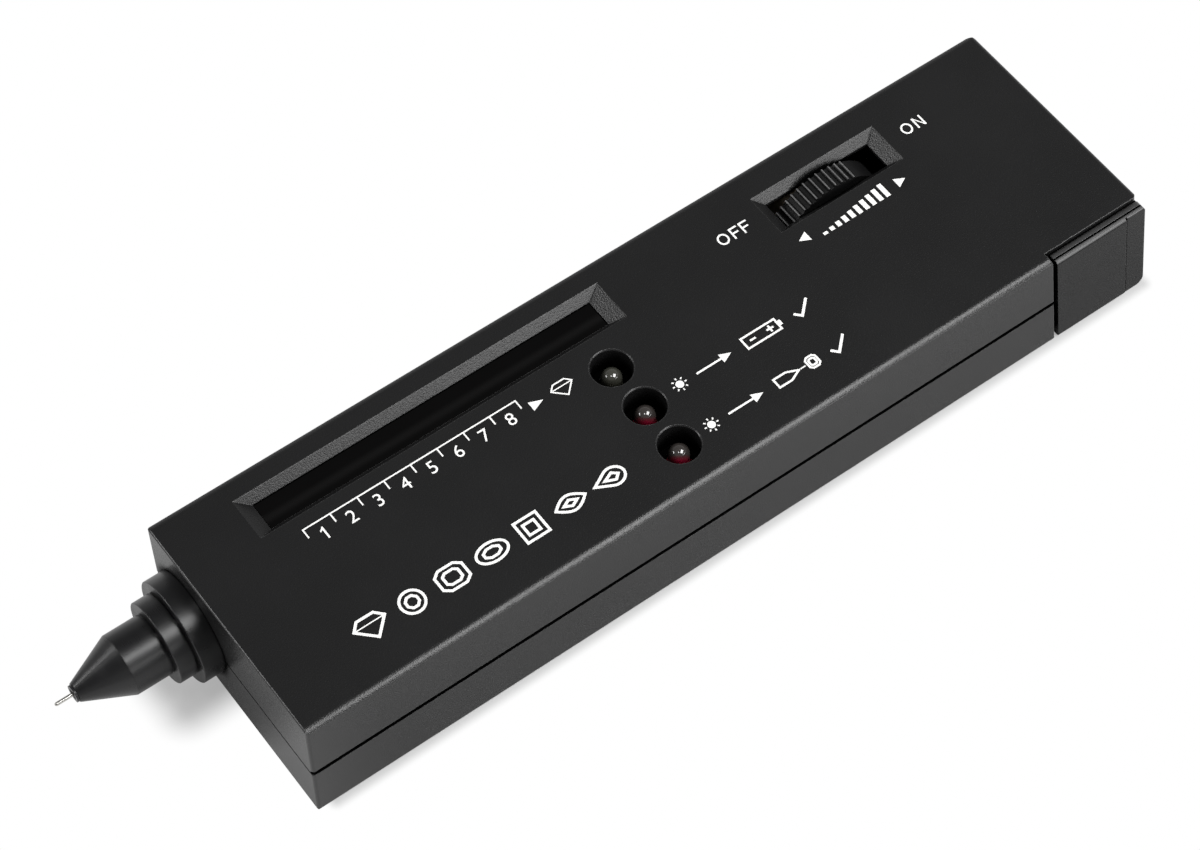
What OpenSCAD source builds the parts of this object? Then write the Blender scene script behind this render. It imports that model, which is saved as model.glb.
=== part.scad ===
// Diamond tester pen: a flat black case with a spring-loaded probe, a bar display, three lamps,
// a thumbwheel for volume and power, and a battery cover that slides off the rear corner.
// The case lies on its floor. The origin is the middle of the base, the probe points to -X,
// +Y is the side of the display and +Z is up.

/* [Case] */
// Length of the case along its top face
case_l = 148; // [146:1:170]
// Width of the case
case_w = 40; // [39.5:0.5:46]
// Thickness of the side and end walls
wall = 1.8; // [1.5:0.1:2]
// Thickness of the top plate
plate_t = 2; // [1.8:0.1:2.6]
// Thickness of the floor
floor_t = 2.7; // [1.8:0.1:3]
// Height of the parting line above the base
split_z = 10.4; // [9.8:0.1:11.2]
// Width of the curve along the long top edges
edge_w = 1.15; // [0.6:0.05:1.6]
// Drop of that curve
edge_d = 0.42; // [0.2:0.02:0.8]
// Rounding of the upright front corners and of the long bottom edges
corner_r = 0.5; // [0.3:0.1:1.2]
// Rounding along the top and bottom of the front end
front_edge = 0.4; // [0.1:0.05:0.5]
// Rounding along the top of the rear end
rear_edge = 1; // [0.3:0.1:1.4]
// Rounding of the upright rear corner
rear_r = 1.5; // [0.5:0.1:1.7]
// Rounding of the top plate's corner beside the cover
notch_r = 1.2; // [0.3:0.1:1.4]
// How far the rear end leans out at the base
rear_lean = 3.5; // [0:0.1:4]
// Width of the groove above the parting line
groove_w = 1; // [0.3:0.05:1.2]
// Depth of that groove
groove_d = 0.6; // [0.3:0.05:0.7]
// Width of the fine line along the parting of the front end
front_line_w = 0.4; // [0.1:0.02:0.5]
// Height of the lip that locates the two halves
lip_h = 1; // [0.6:0.1:1.6]
// Thickness of that lip
lip_t = 0.7; // [0.6:0.05:0.9]

/* [Display] */
// Length of the bevelled opening at the top face
display_l = 62.8; // [60:0.2:66]
// Width of that opening
display_w = 7.3; // [6.6:0.1:8.4]
// Distance of the opening from the front end
display_from_front = 11.8; // [11:0.1:14]
// Distance of the opening from the far side
display_from_far = 3.6; // [2.6:0.1:4]
// Width of the bevel at the ends of the opening
bevel_end = 2.35; // [1.5:0.05:3]
// Width of the bevel along the sides of the openings
bevel_side = 1.25; // [0.8:0.05:1.5]
// Depth of the bevels
bevel_d = 1.5; // [1:0.05:1.7]
// Thickness of the window's flange under the top plate
window_flange_t = 1.2; // [0.8:0.1:1.6]
// How far that flange reaches past the opening
window_flange_w = 1.6; // [1:0.1:2.2]
// Distance between neighbouring lights of the bar
bar_pitch = 4.5; // [4:0.1:4.8]
// Size of one light of the bar along the bar
bar_light_l = 2.2; // [1.6:0.1:3]
// Height of one light of the bar
bar_light_h = 6.5; // [5:0.1:7]

/* [Lamps] */
// Width of the chamfer round the lamp wells
well_rim = 0.16; // [0.1:0.02:0.3]
// Radius of the lamp wells
well_r = 3.15; // [2.6:0.05:3.4]
// Depth of the lamp wells under the top plate
well_l = 3.5; // [1:0.5:4]
// Distance between neighbouring lamps
lamp_pitch = 8; // [7.8:0.1:9]
// Distance of the lamps from the front end
lamp_from_front = 67.5; // [66:0.1:70]
// Share of the free strip beside the row of lamps that lies on the display's side
lamp_share = 0.45; // [0.4:0.01:0.48]
// Radius of a lamp
lamp_r = 1.6; // [1.2:0.1:1.8]
// Height of a lamp's body with its dome
lamp_h = 5.3; // [4.5:0.1:6]
// Depth of a lamp's top under the top face
lamp_depth = 1; // [0.8:0.1:2.4]

/* [Thumbwheel] */
// Radius of the thumbwheel over its ridges
wheel_r = 10; // [9:0.1:10.4]
// Share of the lane beside the battery that the thumbwheel takes up
wheel_share = 0.393; // [0.35:0.001:0.44]
// How far the thumbwheel stands proud of the top face
wheel_proud = 0.25; // [0:0.05:0.6]
// Distance of its axis from the rear end of the top face
wheel_from_rear = 34.9; // [32:0.1:36]
// Ridges that fit round the thumbwheel
ridge_count = 52; // [40:1:56]
// Depth of the ridges
ridge_d = 0.45; // [0.3:0.05:0.6]
// Ridges left out for the smooth sector
smooth_ridges = 9; // [6:1:12]
// Length of the wheel's opening at the top face
wheel_window_l = 23; // [22:0.1:24.5]
// Width of that opening
wheel_window_w = 7.5; // [7:0.1:8]
// Width of the bevel at its ends
wheel_bevel_end = 1.95; // [1.5:0.05:2.2]
// Radius of the wheel's shaft
shaft_r = 1.5; // [1.2:0.1:2]
// Radius of the potentiometer
pot_r = 7.4; // [6:0.1:8]

/* [Probe] */
// Distance of the probe's axis from the far side
probe_from_far = 9.7; // [9.4:0.1:11]
// Radius of the collar against the front end
collar_r = 8.25; // [7.6:0.05:8.6]
// Thickness of that collar
collar_t = 3.3; // [2.6:0.1:4]
// Radius of the collar's neck through the front wall
neck_r = 5.8; // [5.4:0.1:6.4]
// Radius of the ring in front of the collar
ring_r = 6.55; // [6:0.05:7]
// Thickness of that ring
ring_t = 2.9; // [2.4:0.1:3.6]
// Radius of the barrel
barrel_r = 4.8; // [4.6:0.05:5.4]
// Length of the barrel
barrel_l = 5.8; // [5.2:0.1:8]
// Length of the tapered nose
cone_l = 7.3; // [7:0.1:10]
// Radius of the nose at its end
cone_tip_r = 1.5; // [1.4:0.05:1.9]
// Radius of the needle
needle_r = 0.3; // [0.25:0.01:0.4]
// How far the needle stands out of the nose
needle_out = 3.3; // [2:0.1:3.5]
// How far the needle can be pushed in
needle_travel = 1.2; // [0.8:0.1:1.5]
// Radius of the spring's wire
spring_wire_r = 0.22; // [0.18:0.01:0.26]
// Turns of the spring
spring_turns = 7; // [5:1:8]

/* [Battery] */
// Length of the battery without its terminals
battery_l = 46.4; // [45:0.1:49]
// Width of the battery
battery_w = 26.2; // [26:0.1:27.5]
// Thickness of the battery
battery_h = 17.5; // [17:0.1:18.5]
// Rounding of the battery's long edges
battery_r = 2.6; // [1.5:0.1:3.5]
// Height of the battery's terminals
terminal_h = 2.2; // [1.8:0.1:2.8]
// Distance between the terminals
terminal_pitch = 12.7; // [12.4:0.1:13]
// Thickness of the snap connector
connector_t = 3.3; // [2.8:0.1:4]
// Thickness of the rib beside the battery
divider_t = 0.8; // [0.6:0.05:0.9]

/* [Battery cover] */
// Length of the cover along the case
cover_l = 17.5; // [14:0.5:22]
// Gap between the cover and the case
cover_gap = 0.9; // [0.3:0.05:1.1]
// Depth of the cover's top edge under the top face
cover_drop = 1.1; // [0.3:0.05:1.3]
// Rounding of the cover's top edge
cover_edge_r = 0.7; // [0.5:0.1:1.4]
// Rounding of the cover's lower rear corner
cover_corner_r = 1.5; // [0.6:0.1:2.5]
// Length of the stepped-back band at the cover's rear end
cover_band_l = 3.6; // [2:0.1:5]
// Depth of that step
cover_band_d = 0.2; // [0.1:0.05:0.4]
// Width of the fine line along that step
cover_line_w = 0.3; // [0.1:0.02:0.4]
// Depth of the line along the cover's top
cover_line_d = 0.4; // [0.2:0.05:0.6]
// Thickness of the foam pad
pad_t = 1.5; // [1:0.1:2.5]

/* [Board] */
// Thickness of the circuit board
board_t = 1.6; // [1:0.1:1.6]
// Depth of the board's top under the parting line
board_drop = 0.8; // [0.4:0.1:1.2]
// Distance of the board from the front end
board_from_front = 12.5; // [12:0.1:13]
// Radius of the screw bosses
boss_r = 2.9; // [2.6:0.1:3.2]
// Radius of the case screws
screw_r = 1.1; // [0.9:0.05:1.3]
// Depth of the screw heads' counterbores
sink_d = 4; // [3:0.1:5]

/* [Clearances] */
// Radial play of round pieces that are fixed together
fit = 0.05; // [0.02:0.01:0.08]
// Radial play of round pieces that turn or slide
run = 0.05; // [0.03:0.01:0.08]
// Play of flat pieces that are fixed together
seat = 0.1; // [0.05:0.01:0.15]
// Room round pieces that move
room = 0.3; // [0.2:0.02:0.4]
// Room round the battery
battery_play = 0.25; // [0.15:0.05:0.3]

/* [Hidden] */
$fn = 64;
past = 1;
far = case_l;

// Outer shape
case_h = floor_t + battery_h + 2 * battery_play + plate_t;
half_w = case_w / 2;
inner_y = half_w - wall;
ceiling = case_h - plate_t;
front_x = -case_l / 2;
rear_x = case_l / 2;
seam_x = rear_x - cover_l;
lean_a = atan(rear_lean / case_h);

// Place of a leaning line: its position at the top face, followed down to height z
function lean(x, z) = x + rear_lean * (1 - z / case_h);

// Lanes across the rear of the case: battery, rib, thumbwheel, potentiometer and its switch
wheel_gap = 0.34;
battery_y0 = battery_play - inner_y;
battery_y1 = battery_y0 + battery_w;
divider_y0 = battery_y1 + battery_play;
divider_y1 = divider_y0 + divider_t;
lane_w = inner_y - divider_y1;
wheel_w = wheel_share * lane_w;
wheel_y0 = divider_y1 + wheel_gap;
wheel_y1 = wheel_y0 + wheel_w;
wheel_y = (wheel_y0 + wheel_y1) / 2;
pot_y0 = wheel_y1 + room;
pot_y1 = inner_y - seat;
switch_y0 = pot_y1 - (pot_y1 - pot_y0) / 3;

// Thumbwheel
wheel_x = rear_x - wheel_from_rear;
wheel_z = case_h + wheel_proud - wheel_r;
ridge_step = 360 / ridge_count;
smooth_from = 2;
smooth_to = smooth_from + smooth_ridges * ridge_step;
hub_r = 0.4 * wheel_r;
hub_d = wheel_w * 2 / 7;
wheel_window_x0 = wheel_x - wheel_window_l / 2;
wheel_window_x1 = wheel_x + wheel_window_l / 2;
pot_pin_l = 2;

// Battery, from the pad forward
pad_low = 2;
pad_high = 3;
pad_z0 = floor_t + pad_low;
pad_z1 = ceiling - pad_high;
battery_x1 = lean(rear_x - wall - pad_t, pad_z1) - battery_play;
battery_x0 = battery_x1 - battery_l;
battery_z0 = floor_t + battery_play;
battery_z = battery_z0 + battery_h / 2;
battery_y = (battery_y0 + battery_y1) / 2;
post_r = 2.9;
socket_r = 4.1;
terminal_sink = 1.3;
connector_x1 = battery_x0 - terminal_h + terminal_sink;
connector_x0 = connector_x1 - connector_t;
connector_in = 0.6;
connector_low = 2.75;
connector_w = battery_w - 2 * connector_in;
connector_h = battery_h - 2 * connector_low;
rest_t = 1;
rest_w = 2.4;
rest_h = 2.6;

// Board, its arm beside the potentiometer, and the bosses and posts round it
connector_gap = 1.6;
board_edge = 0.6;
arm_gap = 1.5;
boss_gap = 1.5;
boss_in = 0.5;
post_in = 3.4;
board_x0 = front_x + board_from_front;
board_x1 = connector_x0 - connector_gap;
board_top = split_z - board_drop;
board_z0 = board_top - board_t;
board_y1 = inner_y - board_edge;
arm_x1 = wheel_x - wheel_r - arm_gap;
arm_y0 = divider_y1 + room;

// Display opening
display_x0 = front_x + display_from_front;
display_x1 = display_x0 + display_l;
display_y1 = half_w - display_from_far;
display_y0 = display_y1 - display_w;
display_y = (display_y0 + display_y1) / 2;

// Parts on the board stand in three rows along it, between its near edge and the display. Each one's
// distance is that of its middle from the front edge of the board.
pin_w = 0.45;
pin_pitch = 2.54;
chip_w = 6.4;
row_w = chip_w + 2 * pin_w;
row_gap = (board_y1 + display_y0 - 3 * row_w) / 4;
function row_y(k) = row_gap + row_w / 2 + k * (row_w + row_gap) - board_y1;
transistor_from = 4.5;
transistor_pitch = 5.4;
amplifier_from = 12.5;
capacitor_from = 23.5;
capacitor_pitch = 8;
driver_from = 30.5;
resistor_from = 6;
resistor_pitch = 4.6;
trimmer_from = 39.5;
trimmer_pitch = 7.5;
buzzer_from = 47.8;

// Screws of the case and of the board
probe_y = half_w - probe_from_far;
flange_w = 1.3;
flange_r = neck_r + flange_w;
boss_y = inner_y - boss_r + boss_in;
boss_front_x = board_x0 - boss_r - boss_gap;
boss_rear_x = board_x1 - boss_r - boss_gap - room;
boss_middle_y = probe_y - flange_r - boss_r - boss_gap;
boss_far_x = (display_x1 + wheel_window_x0) / 2;
BOSSES = [
    [boss_front_x, -boss_y], [boss_front_x, boss_middle_y], [boss_rear_x, -boss_y], [boss_far_x, boss_y]
];
BOARD_POSTS = [[board_x0 + post_in, row_y(0)], [board_x1 - post_in, row_y(1)]];
post_out_r = 2.2;
board_screw_r = 0.8;
board_screw_l = 5;
pilot_l = 7;
head_r = 2.2;
head_t = 1.6;
screw_reach = 7;
sink_r = head_r + room;

// Window of the display and the lights behind it
window_drop = 0.15;
bar_margin = 5.2;
holder_drop = 1.5;
opening_w = display_w - 2 * bevel_side;
window_x0 = display_x0 + bevel_end;
window_x1 = display_x1 - bevel_end;
window_top = case_h - bevel_d - window_drop;
window_z0 = ceiling - window_flange_t;
bar_first_x = window_x0 + bar_margin;
bar_top = window_z0 - room;
bar_light_w = opening_w - 2 * seat;
bar_z0 = bar_top - bar_light_h;
holder_z1 = bar_top - holder_drop;
holder_margin = 1.2;
GREEN_BARS = [0:2];
AMBER_BARS = [3:7];
RED_BARS = [8:11];

// Lamps
lamp_x = front_x + lamp_from_front;
lamp_y = display_y0 - lamp_share * (display_y0 + half_w - 2 * lamp_pitch);
lamp_top = case_h - lamp_depth;
lamp_z0 = lamp_top - lamp_h;
lamp_flange_w = 0.4;
lamp_flange_r = lamp_r + lamp_flange_w;
lamp_flange_t = 1;
well_wall = 0.6;
spacer_r = lamp_flange_r + seat;

// Probe, measured forward from the front end
probe_z = split_z;
ring_d = collar_t + ring_t;
barrel_d = ring_d + barrel_l;
cone_d = barrel_d + cone_l;
tip_d = cone_d + needle_out;
sleeve_t = 0.8;
spigot_r = barrel_r - sleeve_t;
chamber_r = spigot_r - sleeve_t;
screw_in = 1.8;
cone_in = 2.4;
carrier_r = 1.9;
carrier_chamfer = 0.4;
carrier_sleeve = 1.4;
stop_r = chamber_r - room;
stop_t = 1.2;
stop_d = barrel_d - cone_in - seat;
stem_r = 1.3;
stem_l = 3;
stem_d = stop_d - stop_t - stem_l;
heater_r = 1.2;
heater_l = 3;
spring_r = (stem_r + chamber_r) / 2;
bush_in = 0.5;
bush_r = cone_tip_r - bush_in;
bush_lip_r = cone_tip_r - bush_in / 3;
bush_lip_t = 0.4;
bush_l = 2.4;
bush_cup_r = 0.85 * bush_r;
bush_cup_d = 0.6;
needle_in = 2.6;
needle_root_d = cone_d - bush_l - needle_in;
flange_t = 1.5;
plug_d = -wall - flange_t;
plug_l = stem_d - heater_l - needle_travel - room - plug_d;
plug_head_w = 1;
plug_head_r = chamber_r + plug_head_w;
plug_head_t = 1.2;
plug_pin_r = 0.4;
plug_pin_l = 1.6;
plug_pin_y = 1.2;
pinch = 0.25;
edge_break = 0.1;

// Leads: the routes' points are chosen by hand from where each lead starts and ends
lead_r = 0.65;
lead_pitch = 3;
lead_off = 4.7;
lead_up = 2;
lead_run = 2;
lead_rise = 3;
lead_in = 7;
probe_lead_r = 0.4;
probe_lead_run = 1;
probe_lead_off = 4;
probe_lead_in = 1.2;

// Plain shapes

module block(lo, hi) {
    translate(lo) cube(hi - lo);
}

module rod_x(r, x0, x1, y, z) {
    translate([x0, y, z]) rotate([0, 90, 0]) cylinder(r = r, h = x1 - x0);
}

module rod_y(r, y0, y1, x, z) {
    translate([x, y0, z]) rotate([-90, 0, 0]) cylinder(r = r, h = y1 - y0);
}

module rod_z(r, z0, z1, x, y) {
    translate([x, y, z0]) cylinder(r = r, h = z1 - z0);
}

// A flat outline of Y and Z, drawn out along X
module along_x(x0, x1) {
    translate([x0, 0, 0]) rotate([90, 0, 90]) linear_extrude(x1 - x0) children();
}

// A flat outline of X and Z, drawn out along Y
module along_y(y0, y1) {
    translate([0, y1, 0]) rotate([90, 0, 0]) linear_extrude(y1 - y0) children();
}

// A slab between two leaning lines
module slab(x0, x1, y0, y1, z0, z1) {
    along_y(y0, y1) polygon([
        [lean(x0, z0), z0], [lean(x1, z0), z0], [lean(x1, z1), z1], [lean(x0, z1), z1]
    ]);
}

// A piece turned round the probe's axis, its outline given as [distance forward, radius]
module turned(outline) {
    translate([front_x, probe_y, probe_z]) rotate([0, -90, 0])
        rotate_extrude() polygon([for (p = outline) [p[1], p[0]]]);
}

// A plain sleeve round the probe's axis
module sleeve(d0, d1, outer, inner) {
    turned([[d0, inner], [d0, outer], [d1, outer], [d1, inner]]);
}

// A cross recess in a screw head that faces down
module cross_recess(x, y, z, r) {
    half = r / 6;
    block([x - r * 0.7, y - half, z - past], [x + r * 0.7, y + half, z + r / 4]);
    block([x - half, y - r * 0.7, z - past], [x + half, y + r * 0.7, z + r / 4]);
}

function unit(v) = v / norm(v);

// The rounded corner at b of an outline that comes from a and goes on to c
function fillet(a, b, c, r, n = 8) =
    let (
        u = unit(a - b),
        v = unit(c - b),
        half = acos(u * v) / 2,
        m = b + unit(u + v) * r / sin(half),
        s = b + u * r / tan(half) - m,
        e = b + v * r / tan(half) - m,
        from = atan2(s[1], s[0]),
        turn = atan2(e[1], e[0]) - from,
        sweep = turn > 180 ? turn - 360 : turn < -180 ? turn + 360 : turn
    )
    [for (k = [0:n]) m + r * [cos(from + sweep * k / n), sin(from + sweep * k / n)]];

// A smooth route through points chosen by hand
function between(p, q, r, s, t) =
    0.5 * (2 * q + (r - p) * t + (2 * p - 5 * q + 4 * r - s) * t * t + (3 * q - p - 3 * r + s) * t * t * t);
function route(points, steps = 4) =
    let (last = len(points) - 1)
    concat(
        [for (k = [0:last - 1], j = [0:steps - 1])
            between(points[max(k - 1, 0)], points[k], points[k + 1], points[min(k + 2, last)], j / steps)],
        [points[last]]
    );

// A tube through rings of points, closed at both ends
module skin(rings) {
    sides = len(rings[0]);
    last = len(rings) - 1;
    points = [for (ring = rings) each ring];
    side_faces = [for (k = [0:last - 1], s = [0:sides - 1])
        let (a = k * sides + s, b = k * sides + (s + 1) % sides)
        each [[a, b, a + sides], [b, b + sides, a + sides]]];
    start_face = [for (s = [1:sides - 2]) [0, s + 1, s]];
    end_face = [for (s = [1:sides - 2]) [last * sides, last * sides + s, last * sides + s + 1]];
    polyhedron(points, concat(side_faces, start_face, end_face));
}

// A lead of one radius along a route, its ends square to the first and last stretch
module lead(points, r, up = [0, 0.2, 1]) {
    path = route(points);
    last = len(path) - 1;
    end = len(points) - 1;
    sides = 8;
    skin([for (k = [0:last])
        let (
            t = unit(k == 0 ? points[1] - points[0]
                : k == last ? points[end] - points[end - 1]
                : path[k + 1] - path[k - 1]),
            n = unit(cross(up, t)),
            b = cross(t, n)
        )
        [for (s = [0:sides - 1]) path[k] + r * (cos(360 * s / sides) * n + sin(360 * s / sides) * b)]]);
}

// Outer shape of the case, with its leaning rear end

module bottom_section() {
    translate([corner_r - half_w, 0]) square([case_w - 2 * corner_r, corner_r]);
    for (s = [-1, 1]) translate([s * (half_w - corner_r), corner_r]) circle(corner_r);
}

// A point of the flat curve along a long top edge, on the far side (s = 1) or the near side (s = -1)
EDGE_STEPS = 6;
function edge_point(s, k) = [
    s * (half_w - edge_w * (1 - k / EDGE_STEPS)), case_h - edge_d * pow(k / EDGE_STEPS, 2)
];

module case_section() {
    bottom_section();
    polygon(concat(
        [[-half_w, corner_r], [half_w, corner_r]],
        [for (k = [EDGE_STEPS:-1:0]) edge_point(1, k)],
        [for (k = [0:EDGE_STEPS]) edge_point(-1, k)]
    ));
}

module cover_section(h, r) {
    bottom_section();
    translate([-half_w, corner_r]) square([case_w, h - r - corner_r]);
    translate([r - half_w, h - r]) square([case_w - 2 * r, r]);
    for (s = [-1, 1]) translate([s * (half_w - r), h - r]) circle(r);
}

module case_plan() {
    translate([front_x + corner_r, -half_w]) square([2 * far, case_w]);
    translate([front_x, corner_r - half_w]) square([2 * far, case_w - 2 * corner_r]);
    for (s = [-1, 1]) translate([front_x + corner_r, s * (half_w - corner_r)]) circle(corner_r);
}

// What is cut away to round an upright rear corner, on the far side (s = 1) or the near side (s = -1) of
// what is left. The round stands out a hair from the flat faces, so that it crosses them instead of only
// touching them.
module rear_corner(y, s, r) {
    in = r - 0.02;
    translate([lean(rear_x, 0), y, 0]) rotate([0, -lean_a, 0]) difference() {
        translate([-in, s > 0 ? -in : -past, -case_h]) cube([in + past, in + past, 3 * case_h]);
        translate([-in, -s * in, -2 * case_h]) cylinder(r = r, h = 5 * case_h);
    }
}

module case_block() {
    difference() {
        intersection() {
            along_x(front_x, rear_x + rear_lean) case_section();
            linear_extrude(case_h) case_plan();
            slab(front_x - far, rear_x, -half_w, half_w, 0, case_h);
        }
        rear_corner(half_w, 1, rear_r);
        along_y(-case_w, case_w) front_edges();
        along_y(-case_w, case_w) rear_top_edge();
    }
}

// What is cut away to round the top and the bottom of the front end, the rounds standing out a hair too
module front_edges() {
    in = front_edge - 0.01;
    for (s = [-1, 1]) translate([front_x, s > 0 ? case_h : 0]) difference() {
        translate([-past, s > 0 ? -in : -past]) square(in + past);
        translate([in, -s * in]) circle(front_edge);
    }
}

// What is cut away to round the top of the leaning rear end
module rear_top_edge() {
    in = rear_edge - 0.01;
    out = [cos(lean_a), sin(lean_a)];
    c = [rear_x - in * (1 - out[1]) / out[0], case_h - in];
    difference() {
        polygon([c, [c[0], case_h + past], [rear_x + past, case_h + past], c + (in + past) * out]);
        translate(c) circle(rear_edge);
    }
}

// The groove along both long sides and the fine line across the front end, both above the parting line
module parting_groove() {
    for (s = [-1, 1]) translate([0, s * half_w, split_z + groove_w / 2 - past / 2])
        cube([3 * case_l, 2 * groove_d, groove_w + past], center = true);
    translate([front_x, 0, split_z + front_line_w / 2 - past / 2])
        cube([groove_d, 2 * case_w, front_line_w + past], center = true);
}

// Free space inside the case, from one height to another
module cavity(z0, z1) {
    block([front_x + wall, -inner_y, z0], [rear_x + rear_lean + past, divider_y0, z1]);
    intersection() {
        block([front_x + wall, divider_y0 - past, z0], [far, inner_y, z1]);
        slab(front_x - far, rear_x - wall, -half_w, half_w, z0, z1);
    }
}

// The rib between the battery and the thumbwheel
module divider(z0, z1) {
    intersection() {
        block([connector_x0, divider_y0, z0], [far, divider_y1, z1]);
        slab(front_x - far, rear_x - wall / 2, -half_w, half_w, z0, z1);
    }
}

// A bevelled opening in the top plate
module bevelled_opening(x0, x1, y0, y1, end_w) {
    rise = 0.5;
    side_out = bevel_side * rise / bevel_d;
    end_out = end_w * rise / bevel_d;
    low = case_h - bevel_d;
    high = case_h + rise;
    intersection() {
        along_x(x0 - past, x1 + past) polygon([
            [y0 + bevel_side, low], [y1 - bevel_side, low], [y1 + side_out, high], [y0 - side_out, high]
        ]);
        along_y(y0 - past, y1 + past) polygon([
            [x0 + end_w, low], [x1 - end_w, low], [x1 + end_out, high], [x0 - end_out, high]
        ]);
    }
    block([x0 + end_w, y0 + bevel_side, ceiling - past], [x1 - end_w, y1 - bevel_side, low + rise]);
}

module lip(play) {
    z1 = split_z + lip_h + play;
    for (s = [-1, 1]) {
        a = s * (inner_y - play);
        b = s * (inner_y + lip_t + play);
        block([front_x + wall, min(a, b), split_z - play], [seam_x - 2 * wall, max(a, b), z1]);
    }
}

module lamp_places() {
    for (k = [0:2]) translate([lamp_x, lamp_y - k * lamp_pitch, 0]) children();
}

// The case

module top_case() {
    color("#2b2b2d") difference() {
        union() {
            difference() {
                case_block();
                block([front_x - far, -case_w, -past], [far, case_w, split_z]);
                cavity(split_z - past, ceiling);
            }
            divider(split_z + seat, ceiling + plate_t / 2);
            for (p = BOSSES) rod_z(boss_r, split_z + seat, ceiling + plate_t / 2, p[0], p[1]);
            lamp_places() cylinder_between(well_r + well_wall, ceiling - well_l, ceiling + plate_t / 2);
        }
        bevelled_opening(display_x0, display_x1, display_y0, display_y1, bevel_end);
        bevelled_opening(
            wheel_window_x0, wheel_window_x1,
            wheel_y - wheel_window_w / 2, wheel_y + wheel_window_w / 2, wheel_bevel_end
        );
        lamp_places() cylinder_between(well_r, ceiling - well_l + well_wall, case_h + past);
        lamp_places() cylinder_between(spacer_r + seat, ceiling - well_l - past, case_h);
        lamp_places() translate([0, 0, case_h - well_rim])
            cylinder(r1 = well_r, r2 = well_r + 2 * well_rim, h = 2 * well_rim);
        for (p = BOSSES) rod_z(screw_r + fit, split_z - past, ceiling - past, p[0], p[1]);
        rod_x(neck_r + fit, front_x - past, front_x + wall + past, probe_y, probe_z);
        slab(seam_x - cover_gap / 2, far, -case_w, seat - inner_y, -past, case_h + past);
        rear_corner(seat - inner_y, -1, notch_r);
        parting_groove();
        lip(seat);
    }
}

module cylinder_between(r, z0, z1) {
    translate([0, 0, z0]) cylinder(r = r, h = z1 - z0);
}

// Tongues of the cover that reach into the floor of the lower half
TONGUE_Y = [-11, 2];
tongue_w = 6;
tongue_l = 4;
tongue_t = 0.8;
cover_y1 = divider_y0 - seat;
edge_tongue_w = 0.7;

module floor_tongues(play) {
    z1 = floor_t - seat;
    x1 = lean(seam_x, 0);
    for (y = TONGUE_Y)
        block([x1 - tongue_l - play, y - tongue_w / 2 - play, z1 - tongue_t - play],
            [x1 + cover_l / 3, y + tongue_w / 2 + play, z1 + play]);
}

module edge_tongue(x1, play) {
    z = floor_t / 2;
    half = tongue_t / 2 + play;
    block([lean(seam_x, 0) + tongue_l - play, cover_y1 - past, z - half],
        [x1, cover_y1 + edge_tongue_w + play, z + half]);
}

module bottom_case() {
    cradle_x = pot_r * 0.9;
    color("#262628") difference() {
        union() {
            difference() {
                case_block();
                block([front_x - far, -case_w, split_z], [far, case_w, case_h + past]);
                cavity(floor_t, split_z + past);
            }
            lip(0);
            divider(floor_t / 2, split_z);
            for (p = BOSSES) rod_z(boss_r, floor_t / 2, split_z, p[0], p[1]);
            for (p = BOARD_POSTS) rod_z(post_out_r, floor_t / 2, board_z0, p[0], p[1]);
            for (y = [-inner_y, divider_y0 - rest_w])
                block([battery_x0 - rest_t - battery_play, y, floor_t / 2],
                    [battery_x0 - battery_play, y + rest_w, floor_t + rest_h]);
            block([wheel_x - cradle_x, pot_y0 + seat, floor_t / 2],
                [wheel_x + cradle_x, inner_y + wall / 2, wheel_z - pot_r / 2]);
        }
        rod_y(pot_r + fit, wheel_y0 - room, inner_y, wheel_x, wheel_z);
        rod_y(wheel_r + room, wheel_y0 - room, wheel_y1 + room, wheel_x, wheel_z);
        for (p = BOSSES) {
            rod_z(screw_r + room, -past, split_z + past, p[0], p[1]);
            rod_z(sink_r, -past, sink_d, p[0], p[1]);
        }
        for (p = BOARD_POSTS)
            rod_z(board_screw_r + fit, board_z0 - pilot_l, board_z0 + past, p[0], p[1]);
        rod_x(neck_r + fit, front_x - past, front_x + wall + past, probe_y, probe_z);
        slab(seam_x - cover_gap / 2, far, -case_w, divider_y0 + seat, -past, floor_t);
        slab(seam_x - cover_gap / 2, far, -case_w, seat - inner_y, -past, case_h);
        floor_tongues(room / 2);
        edge_tongue(far, room / 2);
    }
}

module battery_cover() {
    h = case_h - cover_drop;
    x0 = seam_x + cover_gap / 2;
    low_front = [lean(x0, 0), 0];
    low_rear = [lean(rear_x, 0), 0];
    high_rear = [lean(rear_x, h), h];
    high_front = [lean(x0, h), h];
    color("#2a2a2c") union() {
        difference() {
            intersection() {
                along_y(-half_w, cover_y1) polygon(concat(
                    [high_front, low_front],
                    fillet(low_front, low_rear, high_rear, cover_corner_r),
                    fillet(low_rear, high_rear, high_front, cover_corner_r * 2 / 3)
                ));
                along_x(front_x, rear_x + rear_lean) cover_section(h, cover_edge_r);
            }
            slab(front_x, rear_x - wall, -inner_y, far, floor_t, case_h);
            block([front_x, -inner_y, ceiling - seat], [far, far, case_h]);
            slab(rear_x - cover_band_l, far, -case_w, cover_band_d - half_w, -past, case_h);
            slab(rear_x - cover_band_l - cover_line_w / 2, rear_x - cover_band_l + cover_line_w / 2,
                -case_w, 2 * cover_band_d - half_w, -past, case_h);
            block([front_x, cover_edge_r - half_w, h - cover_line_d],
                [far, cover_edge_r - half_w + cover_line_w, case_h]);
        }
        floor_tongues(0);
        edge_tongue(lean(rear_x - 2 * wall, 0), 0);
    }
}

module cover_pad() {
    color("#55585c")
        slab(rear_x - wall - pad_t, rear_x - wall, battery_y - battery_w / 3, battery_y + battery_w / 3,
            pad_z0, pad_z1);
}

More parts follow.
